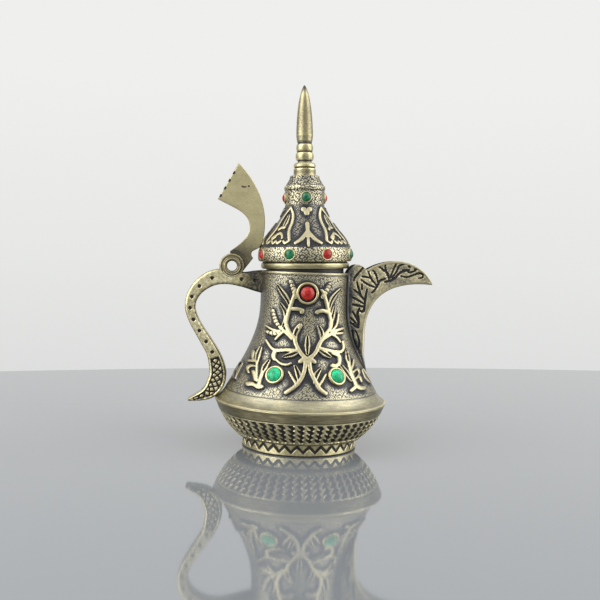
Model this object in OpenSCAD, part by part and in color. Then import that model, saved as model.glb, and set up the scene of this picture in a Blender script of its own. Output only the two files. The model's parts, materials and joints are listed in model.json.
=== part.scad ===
// Small dallah coffee pot: cast shell body, beak spout, strap handle and a hinged lid with a thumb lever.
// Origin: centre of the foot on the table. +Z up, +X towards the spout, hinge axis along Y. Millimetres.

/* [Body] */
// Radius of the foot ring
foot_r = 24.6; // [23:0.1:26]
// Height of the foot ring
foot_h = 5; // [4:0.1:7]
// Radius where the bowl leaves the foot
bowl_foot_r = 27.4; // [26.4:0.1:29]
// Radius at the sharp edge around the belly
ridge_r = 36.9; // [35.5:0.1:39]
// Height of the belly edge, where the two castings meet
ridge_z = 20; // [18:0.1:24]
// Height of the plain band above the belly edge
band_h = 4.8; // [3.5:0.1:6]
// How far the plain band draws in
band_in = 4.3; // [3.6:0.1:5]
// Height of the plain band below the belly edge
under_band_h = 4.2; // [3:0.1:5.5]
// Outer radius of the neck
neck_r = 18.7; // [17.8:0.1:20]
// Height of the neck's rim
neck_top = 75.3; // [70:0.1:82]
// Length of the straight upper part of the neck
neck_straight = 13.3; // [10:0.1:16]
// Wall of the castings
wall = 1.5; // [1.2:0.1:1.8]
// Thickness of the bottom cover
cover_t = 1; // [0.8:0.1:1.4]

/* [Spout] */
// Distance from the neck to the tip of the beak
beak_out = 37.3; // [33:0.1:42]
// Width of the spout at its root
spout_w = 11; // [10:0.1:12.5]
// Width of the beak at its tip
beak_w = 4.4; // [4:0.1:6]
// Wall of the spout
spout_wall = 1.4; // [1:0.1:1.7]
// Distance from the neck to the outside of the spout's throat
throat_out = 7.8; // [7.4:0.1:8.4]
// Depth below the rim at which the beak turns into the throat
throat_down = 25.3; // [23:0.1:27]
// Depth below the rim at which the spout leaves the belly
spout_down = 42.8; // [41:0.1:44.5]
// Width of the slot that lets coffee out of the neck
slot_w = 6; // [5:0.1:6.8]
// Depth below the rim of the slot's lower end
slot_down = 31; // [28:0.1:32]

/* [Handle] */
// Distance from the neck to the middle of the grip
grip_out = 29.9; // [27:0.1:33]
// Thickness of the handle
handle_t = 7; // [6:0.1:8]
// Radius of the handle's hinge boss
boss_r = 5.3; // [5:0.1:5.8]
// Radius of the punched dimples
dimple_r = 0.75; // [0.5:0.05:0.95]
// Shank radius of the handle screws
screw_r = 0.8; // [0.6:0.05:0.95]

/* [Hinge] */
// Distance from the neck to the hinge
hinge_out = 12.7; // [12:0.1:14]
// Height of the hinge above the neck's rim
hinge_up = 1.4; // [0.8:0.1:2]
// Inner radius of the tubular hinge rivet
rivet_bore_r = 2.1; // [1.8:0.05:2.3]
// Wall of the rivet's tube
rivet_wall = 0.5; // [0.4:0.05:0.6]
// Radius of the rivet's rolled rims
rivet_rim_r = 4.2; // [3.9:0.05:4.6]
// Thickness of the lid lever's knuckle
knuckle_t = 3; // [2.6:0.1:3.4]
// Thickness of the thumb lever's blade
lever_t = 5; // [4.4:0.1:6]
// Height of the thumb lever above the hinge
lever_h = 43.7; // [40:0.1:48]
// How far the lid rests open, in degrees, with the lever's heel on the handle
lid_ajar = 2.2; // [1.6:0.1:2.6]

/* [Lid] */
// Radius of the jewelled band
lid_r = 20.3; // [19.9:0.1:21.2]
// Height of the jewelled band
lid_band_h = 5.9; // [5.2:0.1:6.6]
// Radius of the lid's lower rim
rim_r = 18.9; // [18.6:0.1:19.4]
// Height of the lid's lower rim
rim_h = 2.6; // [2.2:0.1:3]
// Radius of the collar above the dome
collar_r = 8.5; // [8:0.1:9]
// Height from the lid's rim to the collar's ring
collar_z = 33.1; // [31:0.1:35]
// Wall of the lid
lid_wall = 1.4; // [1.2:0.1:1.5]
// Radius of the finial's base
finial_r = 4.75; // [4.3:0.05:5.2]
// Height of the finial's base
finial_base_h = 5.6; // [5:0.1:6.5]
// Height of the finial's spire
spire_h = 33; // [29:0.1:37]
// Radius of the spire at its widest
spire_r = 3.6; // [3.2:0.05:4]

/* [Stones] */
// Radius of the body's stones
stone_r = 2.8; // [2.5:0.05:3]
// Radius of the lid band's stones
band_stone_r = 2; // [1.7:0.05:2.2]
// Radius of the collar's stones
collar_stone_r = 1.9; // [1.6:0.05:2.1]
// Width of the metal ring around each body stone
bezel_w = 1.1; // [0.8:0.05:1.4]
// Angle of the belly stones from the middle of each side
belly_stone_angle = 27; // [22:0.5:32]
// Height of the belly stones
belly_stone_z = 33.5; // [32:0.1:36]
// Height of the neck stones below the rim
neck_stone_down = 8.6; // [7:0.1:10]

/* [Leaf work] */
// Height of the raised leaves on the body
leaf_h = 0.8; // [0.4:0.05:1]
// Height of the raised leaves on the lid's dome
dome_leaf_h = 0.5; // [0.3:0.05:0.6]
// Half width of a leaf at its middle
leaf_w = 0.85; // [0.6:0.05:1]

/* [Hidden] */
$fn = 96;
STEPS = 14;                    // segments of each smooth curve
press_gap = 0.02;              // radial room of a pressed or threaded part
run_gap = 0.05;                // radial room of the hinge rivet in the knuckle
side_gap = 0.1;                // room each side of the knuckle
free_gap = 0.3;                // room between parts that move past each other
seat_gap = 0.6;                // room under the lid's rim when it is level
skirt_gap = 0.5;               // radial room of the lid's skirt in the neck
open_up = 20;                  // how far the spout's cuts run up past the rim

ridge_edge = 0.5;              // half height of the belly's edge
floor_z = foot_h;              // underside of the bowl
spigot_h = 1;                  // locating rim between the two castings
spigot_t = 0.9;
seam_w = 2.6;                  // width of the joint face at the belly
lip_h = 1.1;                   // plain lip at the neck's rim
lip_out = 0.2;
neck_in = neck_r - wall;
foot_t = 2;                    // wall of the foot ring
ledge = 1;                     // ledge that holds the bottom cover
cover_z = 0.8;                 // how far the cover sits up in the foot

hinge_x = -neck_r - hinge_out;
hinge_z = neck_top + hinge_up;
knuckle_r = boss_r - free_gap;
slot_r = boss_r + 2;           // reach of the handle's slot above the hinge's lower side
clevis_gap = knuckle_t + 2 * side_gap;
slot_low = 3;                  // how far the wide part of the slot goes below the hinge
blade_r = boss_r + 1.7;        // the blade is at full thickness outside this
rivet_r = rivet_bore_r + rivet_wall;
rim_t = 0.9;                   // height of the rivet's rolled rims

lid_z = neck_top + seat_gap;   // underside of the lid's rim when level
skirt_d = 2.6;
skirt_r = neck_in - skirt_gap;
skirt_t = 1.3;
spigot_r = rim_r - 1.55;       // the rim's spigot inside the dome
dome_z = lid_z + rim_h;        // underside of the dome casting
band_top = dome_z + lid_band_h;
ring_z = lid_z + collar_z;     // underside of the collar's ring
ring_h = 1.8;
ring_out = 0.38;
crown_h = 4.3;                 // stippled cone above the ring
crown_r = finial_r + 1.5;
finial_z = ring_z + ring_h + crown_h;
spire_z = finial_z + finial_base_h;
leaf_root = 0.5;               // how far the leaves go down into the castings
stud_r = 1.5;
stud_up = 9;                   // how far the stud reaches into the spire
stud_head_r = 2.6;
stud_head_h = 1.8;
roof_z = ring_z + 3;           // underside of the roof inside the collar
washer_r = 4;
washer_t = 0.8;

stone_girdle = 1.2;            // straight side of a body stone
stone_dome = 1.3;
small_girdle = 0.8;            // straight side of a lid stone
small_dome = 0.9;
small_seat = 0.7;              // how deep a lid stone sits
band_stone_z = dome_z + lid_band_h / 2;
collar_stone_z = ring_z - 3.4;

screw_z = [neck_top - 7.1, neck_top - 3.9];
screw_head_r = 1.5;
screw_head_t = 1.1;
screw_reach = 4;               // how far the screws go into the handle
screw_gap = 0.08;              // radial room of the screws in the neck's wall
dimple_deep = 0.4;
lever_rivet_r = 0.6;
lever_rivet_y = 1.25;

function bezier(a, b, c, d, n = STEPS) =
    [for (i = [0:n]) let (t = i / n, s = 1 - t)
        a * s * s * s + b * 3 * s * s * t + c * 3 * s * t * t + d * t * t * t];
function through(a, b, c, d, t) =
    (2 * b + (c - a) * t + (2 * a - 5 * b + 4 * c - d) * t * t
        + (3 * b - a - 3 * c + d) * t * t * t) / 2;
function spline(p, n) = concat(
    [for (i = [0:len(p) - 2]) for (k = [0:n - 1])
        through(p[max(i - 1, 0)], p[i], p[i + 1], p[min(i + 2, len(p) - 1)], k / n)],
    [p[len(p) - 1]]);
function normal(p, i) =
    let (d = p[min(i + 1, len(p) - 1)] - p[max(i - 1, 0)]) [-d[1], d[0]] / norm([d[0], d[1]]);
function beside(p, i, w) = [p[i][0], p[i][1]] + normal(p, i) * w;
function moved(p, w) = [for (i = [0:len(p) - 1]) beside(p, i, w)];
function back(p) = [for (i = [len(p) - 1:-1:0]) p[i]];
// Outline of a strap that follows points [x, z, half width]
function strap(p) = concat([for (i = [0:len(p) - 1]) beside(p, i, p[i][2])],
    [for (i = [len(p) - 1:-1:0]) beside(p, i, -p[i][2])]);

// Outer line of the upper casting, from the top of the plain band to the straight neck
shoulder_r = ridge_r - band_in;
shoulder_z = ridge_z + band_h;
straight_z = neck_top - neck_straight;
function belly_r(t) = neck_r + (shoulder_r - neck_r) * pow(1 - t, 1.5 + 0.6 * t);
function belly_z(t) = shoulder_z + (straight_z - shoulder_z) * t;
belly_line = [for (i = [0:STEPS]) [belly_r(i / STEPS), belly_z(i / STEPS)]];
leaf_skin = concat(belly_line, [[neck_r, neck_top - lip_h - 1]]);
function belly_t(z) = (z - shoulder_z) / (straight_z - shoulder_z);
band_line = bezier([ridge_r, ridge_z + ridge_edge],
    [ridge_r - 0.45 * band_in, ridge_z + ridge_edge + 0.15 * band_h],
    [ridge_r - 0.8 * band_in, ridge_z + 0.65 * band_h], [shoulder_r, shoulder_z], 6);
// Outer line of the bowl, from the foot to the belly's edge
bowl_line = bezier([bowl_foot_r, floor_z + 0.6], [bowl_foot_r + 3.1, floor_z + 3.2],
    [ridge_r - 3.5, ridge_z - under_band_h - 3.8], [ridge_r - 1.8, ridge_z - under_band_h], 10);

// Side outline of the thumb lever, from the hinge's centre, with the lid level
lever_tip = [lever_h * 0.073, lever_h];
lever_corner = [-5.8, lever_h - 15.2];
lever_waist = [7.6, 16.5];
lever_reach = -hinge_x - lid_r;  // from the hinge to the lid's band
lever_root = [lever_reach + 1.7, 9];
lever_heel = [boss_r - 0.3, -1.9];
lever_line = concat(
    bezier(lever_corner, lever_corner + [6, -3.5], lever_waist + [0.4, 6.5], lever_waist),
    bezier(lever_waist, lever_waist + [0, -4], [4.2, 9.8], [-0.8, blade_r - 0.8]),
    [[0, 0], lever_heel, [lever_reach - 2.4, 2.8]],
    [for (a = [-125:-25:-225]) [lever_reach - 0.9 + 1.9 * cos(a), 4.9 + 1.9 * sin(a)]],
    [[lever_reach + 0.5, 7.6]],
    bezier(lever_root, lever_root + [2.4, 8.5], lever_root + [3.2, 21], lever_tip));

// Middle line of the handle: [x, z, half width] from the neck to the tip of the tail
grip = [[-0.12, -5, 5.4], [0.087, -4.6, 4.4], [0.281, -4.2, 3.15], [0.492, -3.2, 3.3],
    [0.699, -4.1, 3.3], [0.876, -7.7, 2.9], [0.977, -12.3, 2.45], [1, -17.1, 2.15],
    [0.946, -22, 2.1], [0.856, -26.7, 2.15], [0.756, -31.3, 2.4]];
tail = [[1.7, 19.6, 2.6], [-0.1, 14.8, 3.25], [-0.9, 10.2, 3.65], [0, 6.2, 3.75],
    [2.4, 2.6, 3.1], [6.3, 0.4, 1.9], [11.4, -1.2, 0.4]];
handle_path = concat([for (p = grip) [-neck_r - grip_out * p[0], neck_top + p[1], p[2]]],
    [for (p = tail) [-ridge_r - p[0], ridge_z + p[1], p[2]]]);
DIMPLES = 11;

// Side outline of the spout, and of the channel inside it
beak_tip = [neck_r + beak_out, neck_top - 4];
beak_notch = [neck_r + 7.6, neck_top + 1.7];
throat = [neck_r + throat_out, neck_top - throat_down];
beak_top = bezier(beak_notch, beak_notch + [9.7, 6.5], beak_tip + [-6, 11.7], beak_tip);
beak_under = bezier(beak_tip, beak_tip + [-12, 1], throat + [0.1, 0.81 * throat_down], throat);
spout_foot = bezier(throat + [0, -8], throat + [0, -12], throat + [0.8, -14], throat + [1.4, -17.5], 5);
spout_crest = bezier([neck_r - 2, neck_top + 0.2], [neck_r + 1.4, neck_top + 4.6],
    [neck_r + 4.4, neck_top + 5], beak_notch, 8);
spout_line = concat(spout_crest, beak_top, beak_under, spout_foot,
    [[neck_r - 2, neck_top - spout_down]]);
channel_floor = moved(concat(beak_under, [throat + [0, -8]]), -spout_wall);
channel_line = concat([beak_tip + [2, open_up], beak_tip + [2, 1]], channel_floor,
    [[neck_r - 2, neck_top - slot_down - 5], [neck_r - 2, neck_top - 1.5],
    [neck_r + 1.6, neck_top - 1.5], [neck_r + 1.6, neck_top + open_up]]);

// Leaf work on one half of a side: x from the middle and height above the shoulder, as shares
// of the neck's height above it, and width as a share of leaf_w
LEAVES = [
    [[0, 0.31, 1], [0.08, 0.42, 1], [0.136, 0.51, 1], [0.16, 0.57, 0.9], [0.137, 0.7, 0.8],
        [0.1, 0.81, 0.6]],
    [[0.13, 0.71, 0.7], [0.16, 0.78, 1], [0.2, 0.84, 1], [0.232, 0.88, 0.4]],
    [[0.11, 0.455, 0.9], [0.16, 0.5, 1], [0.247, 0.61, 0.8], [0.273, 0.67, 0.4]],
    [[0.07, 0.37, 0.9], [0.232, 0.364, 1], [0.273, 0.38, 0.8], [0.313, 0.44, 0.5]],
    [[0, 0.33, 1], [0.04, 0.17, 1], [0.16, 0.07, 0.8]],
    [[0.392, 0.1, 0.7], [0.36, 0.23, 0.9], [0.345, 0.39, 0.4]]];

// The same for the dome, above the jewelled band, as shares of the collar's height
SIDE_LEAVES = [
    [[0, 0.05, 1], [0, 0.5, 0.8]],
    [[0, 0.29, 0.9], [0.132, 0.145, 0.9], [0.212, 0.11, 0.5]]];
CORNER_LEAVES = [
    [[0, 0.7, 0.7], [0.116, 0.46, 0.7], [0.176, 0.21, 0.7], [0.228, 0.13, 0.7]],
    [[0, 0.08, 0.8], [0.016, 0.24, 1], [0.05, 0.39, 1], [0, 0.58, 0.6]]];

BRASS = "#8a7f5c";
RED = "#b3202a";
GREEN = "#0d8f5e";

// A flat plate that stands in the XZ plane, t thick
module plate(outline, t) {
    rotate([90, 0, 0]) linear_extrude(t, center = true) polygon(outline);
}

// The lid's parts are drawn level and set down on the lever's heel
module on_lid() {
    translate([hinge_x, 0, hinge_z]) rotate([0, -lid_ajar, 0]) translate([-hinge_x, 0, -hinge_z])
        children();
}

// Faces outward at an angle round the axis (0 = front), r out, z up, tilted up
module face_out(angle, r, z, tilt = 0) {
    rotate([0, 0, angle - 90]) translate([r, 0, z]) rotate([0, 90 - tilt, 0]) children();
}

// A cabochon: straight girdle and domed top
module stone(r, girdle, dome) {
    sphere_r = (r * r + dome * dome) / (2 * dome);
    cylinder(r = r, h = girdle);
    translate([0, 0, girdle]) intersection() {
        translate([0, 0, dome - sphere_r]) sphere(sphere_r);
        cylinder(r = r, h = dome + 1);
    }
}

// Place of the stone in the middle of the neck's front or back
module neck_place(angle) {
    face_out(angle, neck_r, neck_top - neck_stone_down) children();
}

// Place of a belly stone, square to the sloping shoulder
module belly_place(angle) {
    t = belly_t(belly_stone_z);
    slope = atan2(belly_r(t - 0.02) - belly_r(t + 0.02), belly_z(t + 0.02) - belly_z(t - 0.02));
    face_out(angle, belly_r(t), belly_stone_z, slope) children();
}

NECK_ANGLES = [0, 180];
BELLY_ANGLES = [-belly_stone_angle, belly_stone_angle,
    180 - belly_stone_angle, 180 + belly_stone_angle];

module bezel() {
    translate([0, 0, -wall / 2]) cylinder(r = stone_r + bezel_w, h = wall / 2 + 1);
}

module stone_seat() {
    translate([0, 0, -0.2]) cylinder(r = stone_r + press_gap, h = 5);
}

// Leaves raised by h over a turned skin, drawn to the right of the middle and mirrored
module leaves(drawing, low, tall, skin, h) {
    intersection() {
        rotate([90, 0, 0]) linear_extrude(ridge_r) for (side = [-1, 1], leaf = drawing)
            polygon(strap([for (p = leaf) [side * p[0] * tall, low + p[1] * tall, p[2] * leaf_w]]));
        rotate_extrude() polygon(concat(moved(skin, -h), back(moved(skin, leaf_root))));
    }
}

// Everything inside the outer skin of the body
module body_solid() {
    rotate_extrude() polygon(concat([[0, floor_z], [foot_r, floor_z]], bowl_line,
        [[ridge_r, ridge_z - ridge_edge]], band_line, belly_line, [[neck_r, neck_top], [0, neck_top]]));
}

module upper_body() {
    skin = concat([[ridge_r, ridge_z]], band_line, belly_line,
        [[neck_r, neck_top - lip_h], [neck_r + lip_out, neck_top - lip_h],
        [neck_r + lip_out, neck_top]]);
    lining = concat([[ridge_r - seam_w, ridge_z],
        [ridge_r - seam_w, ridge_z + spigot_h + side_gap]],
        moved(belly_line, wall), [[neck_in, neck_top]]);
    color(BRASS) difference() {
        union() {
            rotate_extrude() polygon(concat(skin, back(lining)));
            for (a = NECK_ANGLES) neck_place(a) bezel();
            for (a = BELLY_ANGLES) belly_place(a) bezel();
            for (a = NECK_ANGLES) rotate([0, 0, a])
                leaves(LEAVES, shoulder_z, neck_top - shoulder_z, leaf_skin, leaf_h);
        }
        for (a = NECK_ANGLES) neck_place(a) stone_seat();
        for (a = BELLY_ANGLES) belly_place(a) stone_seat();
        pour_slot();
        for (z = screw_z) screw_hole(z, screw_r + screw_gap);
    }
}

// Opening from the neck into the spout, with round ends
module pour_slot() {
    low = neck_top - slot_down;
    high = neck_top - 9;
    translate([neck_in - 3, -slot_w / 2, low]) cube([wall + 6, slot_w, high - low]);
    for (z = [low, high]) translate([neck_in - 3, 0, z]) rotate([0, 90, 0])
        cylinder(d = slot_w, h = wall + 6);
}

module lower_bowl() {
    skin = concat([[foot_r, floor_z]], bowl_line, [[ridge_r, ridge_z - ridge_edge],
        [ridge_r, ridge_z]]);
    lining = concat([[foot_r - 1, floor_z + wall]], moved(bowl_line, wall),
        [[ridge_r - seam_w - spigot_t, ridge_z - spigot_h],
        [ridge_r - seam_w - spigot_t, ridge_z + spigot_h],
        [ridge_r - seam_w - press_gap, ridge_z + spigot_h],
        [ridge_r - seam_w - press_gap, ridge_z]]);
    color(BRASS) rotate_extrude() polygon(concat([[0, floor_z]], skin, back(lining),
        [[0, floor_z + wall]]));
}

module foot_ring() {
    inner = foot_r - foot_t;
    color(BRASS) rotate_extrude() polygon([[inner + press_gap, 0], [foot_r, 0], [foot_r, foot_h],
        [inner - ledge, foot_h], [inner - ledge, cover_z + cover_t],
        [inner + press_gap, cover_z + cover_t]]);
}

module bottom_cover() {
    color(BRASS) translate([0, 0, cover_z]) cylinder(r = foot_r - foot_t, h = cover_t);
}

// Plan of the beak: full width at the root, narrowing to the tip
module spout_plan(root, tip) {
    x0 = neck_r - 3;
    x1 = beak_notch[0] + 3;
    x2 = beak_tip[0] + 1;
    linear_extrude(neck_top + open_up) polygon([[x0, -root / 2], [x1, -root / 2], [x2, -tip / 2],
        [x2, tip / 2], [x1, root / 2], [x0, root / 2]]);
}

module spout() {
    color(BRASS) difference() {
        intersection() {
            plate(spout_line, spout_w);
            spout_plan(spout_w, beak_w);
        }
        intersection() {
            plate(channel_line, spout_w);
            spout_plan(spout_w - 2 * spout_wall, beak_w - 2 * spout_wall);
        }
        body_solid();
        neck_lip();
        lid_room();
    }
}

// Plain lip round the neck's rim
module neck_lip() {
    translate([0, 0, neck_top - lip_h]) cylinder(r = neck_r + lip_out, h = lip_h);
}

// Room for the lid above the neck's rim
module lid_room() {
    translate([0, 0, neck_top]) cylinder(r = rim_r + free_gap, h = rim_h + 3);
    translate([0, 0, dome_z + 1.2]) cylinder(r = lid_r + free_gap, h = lid_band_h + 14);
}

module screw_hole(z, r) {
    translate([-neck_r - screw_reach - press_gap, 0, z]) rotate([0, 90, 0])
        cylinder(r = r, h = screw_reach + 2 * wall);
}

module handle() {
    line = spline(handle_path, 4);
    color(BRASS) difference() {
        union() {
            plate(strap(line), handle_t);
            translate([hinge_x, 0, hinge_z]) rotate([90, 0, 0])
                cylinder(r = boss_r, h = handle_t, center = true);
        }
        body_solid();
        neck_lip();
        lid_room();
        translate([hinge_x, 0, hinge_z]) rotate([90, 0, 0]) {
            cylinder(r = boss_r, h = clevis_gap, center = true);
            intersection() {
                cylinder(r = slot_r, h = clevis_gap, center = true);
                translate([-slot_r, -slot_low, -clevis_gap / 2])
                    cube([2 * slot_r, slot_r + slot_low, clevis_gap]);
            }
            cylinder(r = rivet_r + press_gap, h = handle_t + 2, center = true);
        }
        for (z = screw_z) screw_hole(z, screw_r + press_gap);
        for (i = [1:DIMPLES], side = [-1, 1])
            if (i != 3) translate([handle_path[i][0], side * handle_t / 2, handle_path[i][1]])
                rotate([90, 0, 0]) cylinder(r = dimple_r, h = 2 * dimple_deep, center = true);
    }
}

module handle_screws() {
    seat_x = -sqrt(neck_in * neck_in - screw_head_r * screw_head_r);
    color("silver") for (z = screw_z) translate([seat_x, 0, z]) rotate([0, 90, 0]) {
        cylinder(r = screw_head_r, h = screw_head_t);
        rotate([180, 0, 0]) cylinder(r = screw_r, h = neck_r + screw_reach + seat_x);
    }
}

// Tubular rivet with a rolled rim on each side; the lid turns on its tube
module hinge_rivet() {
    half = handle_t / 2;
    mid = (rivet_bore_r + rivet_rim_r) / 2;
    roll = (rivet_rim_r - rivet_bore_r) / 2;
    rim = [for (a = [0:15:180]) [mid + roll * cos(a), half + rim_t * sin(a)]];
    color(BRASS) translate([hinge_x, 0, hinge_z]) rotate([90, 0, 0]) rotate_extrude()
        polygon(concat([[rivet_r, -half], [rivet_r, half]], rim,
            [for (p = back(rim)) [p[0], -p[1]]]));
}

// Everything inside the outer skin of the lid's dome
module dome_solid() {
    rotate_extrude() polygon(concat([[0, dome_z]], dome_line, [[0, finial_z]]));
}

dome_curve = concat(
    bezier([lid_r - 0.2, band_top], [lid_r - 1.6, band_top + 2.6],
        [lid_r - 4, band_top + 4.6], [lid_r - 6.2, band_top + 7.2], 6),
    bezier([lid_r - 8.4, band_top + 10], [collar_r + 1.4, band_top + 13.4],
        [collar_r, band_top + 15.5], [collar_r - 0.1, ring_z - 6.4], 7));
dome_line = concat([[lid_r - 0.5, dome_z], [lid_r, dome_z + 0.5], [lid_r, band_top - 0.5]],
    dome_curve, [[collar_r, ring_z], [collar_r + ring_out, ring_z + 0.3],
    [collar_r + ring_out, ring_z + ring_h - 0.3], [collar_r, ring_z + ring_h],
    [crown_r + 0.6, finial_z - 2], [crown_r, finial_z]]);

module lid_dome() {
    lining = concat([[spigot_r + press_gap, dome_z], [spigot_r + press_gap, dome_z + 1.2],
        [lid_r - lid_wall, dome_z + 1.6], [lid_r - lid_wall - 0.4, band_top - 0.6],
        [lid_r - 7.8, band_top + 6.2], [lid_r - 10, band_top + 9.2],
        [collar_r - lid_wall, band_top + 15], [collar_r - lid_wall, ring_z + 1],
        [collar_r - lid_wall - 1.4, roof_z], [stud_r + press_gap, roof_z],
        [stud_r + press_gap, finial_z]]);
    color(BRASS) on_lid() difference() {
        union() {
            rotate_extrude() polygon(concat(lining, back(dome_line)));
            for (a = [0, 90, 180]) rotate([0, 0, a]) dome_leaves(SIDE_LEAVES);
            for (a = [45:90:315]) rotate([0, 0, a]) dome_leaves(CORNER_LEAVES);
        }
        for (k = [0:7]) band_place(k) small_stone_seat(band_stone_r);
        for (k = [0:3]) collar_place(k) small_stone_seat(collar_stone_r);
        for (side = [-1, 1]) lever_rivet_hole(side);
    }
}

// Leaves on one side of the dome; the lever's side has only those at its corners
module dome_leaves(drawing) {
    leaves(drawing, band_top, ring_z - band_top, dome_curve, dome_leaf_h);
}

module small_stone_seat(r) {
    translate([0, 0, -small_seat]) cylinder(r = r + press_gap, h = 3);
}

module band_place(k) {
    face_out(22.5 + 45 * k, lid_r, band_stone_z) children();
}

module collar_place(k) {
    face_out(90 * k, collar_r, collar_stone_z) children();
}

// Lower rim of the lid: a ring that centres the dome, and a skirt that drops into the neck
module lid_rim() {
    color(BRASS) on_lid() rotate_extrude() polygon([[skirt_r - skirt_t, lid_z - skirt_d],
        [skirt_r, lid_z - skirt_d], [skirt_r, lid_z], [rim_r - 0.4, lid_z], [rim_r, lid_z + 0.4],
        [rim_r, dome_z - 0.7], [rim_r - 0.6, dome_z - 0.3], [rim_r - 0.6, dome_z],
        [spigot_r, dome_z], [spigot_r, dome_z + 1.8], [skirt_r - skirt_t, dome_z + 1.8]]);
}

module lever_rivet_hole(side) {
    translate([-lid_r - 2, side * lever_rivet_y, band_top + 1.9]) rotate([0, 90, 0])
        cylinder(r = lever_rivet_r + press_gap, h = 7);
}

module lid_lever() {
    color(BRASS) on_lid() difference() {
        translate([hinge_x, 0, hinge_z]) difference() {
            union() {
                difference() {
                    plate(lever_line, lever_t);
                    rotate([90, 0, 0]) cylinder(r = blade_r, h = lever_t + 2, center = true);
                }
                intersection() {
                    plate(lever_line, knuckle_t);
                    rotate([90, 0, 0]) cylinder(r = blade_r + 0.5, h = lever_t, center = true);
                }
                rotate([90, 0, 0]) cylinder(r = knuckle_r, h = knuckle_t, center = true);
            }
            rotate([90, 0, 0]) cylinder(r = rivet_r + run_gap, h = lever_t, center = true);
            lever_dimples();
        }
        dome_solid();
        for (side = [-1, 1]) lever_rivet_hole(side);
    }
}

// Four punched dimples along the flared top edge, both sides
module lever_dimples() {
    along = (lever_tip - lever_corner) / norm(lever_tip - lever_corner);
    inset = [along[1], -along[0]] * (dimple_r + 0.35);
    for (i = [0:3], side = [-1, 1]) {
        p = lever_corner + along * (3 + 3.75 * i) + inset;
        translate([p[0], side * lever_t / 2, p[1]]) rotate([90, 0, 0])
            cylinder(r = dimple_r, h = 2 * dimple_deep, center = true);
    }
}

module lever_rivets() {
    color("silver") on_lid() for (side = [-1, 1])
        translate([-lid_r - 1.5, side * lever_rivet_y, band_top + 1.9]) rotate([0, 90, 0])
            cylinder(r = lever_rivet_r, h = 4.2);
}

// Turned base of the finial, with a rounded flange at its top
module finial_base() {
    color(BRASS) on_lid() translate([0, 0, finial_z]) rotate_extrude()
        polygon([[stud_r + press_gap, 0], [finial_r, 0], [finial_r, finial_base_h - 2.6],
            [finial_r - 0.5, finial_base_h - 2.3], [finial_r, finial_base_h - 1.8],
            [finial_r + 0.05, finial_base_h - 0.9], [finial_r - 0.6, finial_base_h - 0.1],
            [finial_r - 1.2, finial_base_h], [stud_r + press_gap, finial_base_h]]);
}

// Spire with two turned rings at its foot
module finial_spire() {
    ring_1 = spire_r + 0.28;
    ring_w = 3.3;
    line = concat([[spire_r - 0.6, 0], [spire_r - 0.6, 1]],
        [for (a = [-80:20:80]) [ring_1 - 0.5 + 0.5 * cos(a), 1 + ring_w / 2 + ring_w / 2 * sin(a)]],
        [for (a = [-80:20:80]) [spire_r - 0.5 + 0.5 * cos(a), 4.6 + ring_w / 2 + ring_w / 2 * sin(a)]],
        [[spire_r - 0.6, 8.3], [spire_r - 0.25, 9.5]],
        bezier([spire_r, 11.5], [spire_r - 0.1, 18], [spire_r * 0.6, 26], [0.25, spire_h], 12));
    color(BRASS) on_lid() translate([0, 0, spire_z]) difference() {
        rotate_extrude() polygon(concat([[0, 0]], line, [[0, spire_h]]));
        translate([0, 0, -1]) cylinder(r = stud_r + press_gap, h = stud_up + 1.2);
    }
}

// Stud that holds the finial, with its head inside the dome
module finial_stud() {
    under = roof_z - washer_t;
    color("silver") on_lid() {
        translate([0, 0, under - stud_head_h]) cylinder(r = stud_head_r, h = stud_head_h);
        translate([0, 0, under]) cylinder(r = stud_r, h = spire_z + stud_up - under);
    }
}

module finial_washer() {
    color("silver") on_lid() translate([0, 0, roof_z - washer_t]) difference() {
        cylinder(r = washer_r, h = washer_t);
        translate([0, 0, -1]) cylinder(r = stud_r + press_gap, h = washer_t + 2);
    }
}

module neck_stone(k) {
    color(RED) neck_place(NECK_ANGLES[k]) translate([0, 0, -0.2])
        stone(stone_r, stone_girdle, stone_dome);
}

module belly_stone(k) {
    color(GREEN) belly_place(BELLY_ANGLES[k]) translate([0, 0, -0.2])
        stone(stone_r, stone_girdle, stone_dome);
}

module band_stone(k) {
    color(k % 2 == 0 ? RED : GREEN) on_lid() band_place(k) translate([0, 0, -small_seat])
        stone(band_stone_r, small_girdle, small_dome);
}

module collar_stone(k) {
    color(k % 2 == 0 ? GREEN : RED) on_lid() collar_place(k) translate([0, 0, -small_seat])
        stone(collar_stone_r, small_girdle, small_dome);
}

upper_body();
lower_bowl();
foot_ring();
bottom_cover();
spout();
handle();
handle_screws();
hinge_rivet();
lid_lever();
lever_rivets();
lid_dome();
lid_rim();
finial_base();
finial_spire();
finial_stud();
finial_washer();
neck_stone(0);  // neck_stone_front
neck_stone(1);  // neck_stone_back
for (k = [0:3]) belly_stone(k);
for (k = [0:7]) band_stone(k);
for (k = [0:3]) collar_stone(k);
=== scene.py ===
import json
import math

import bmesh
import bpy
import numpy as np
from mathutils import Matrix, Vector


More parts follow.
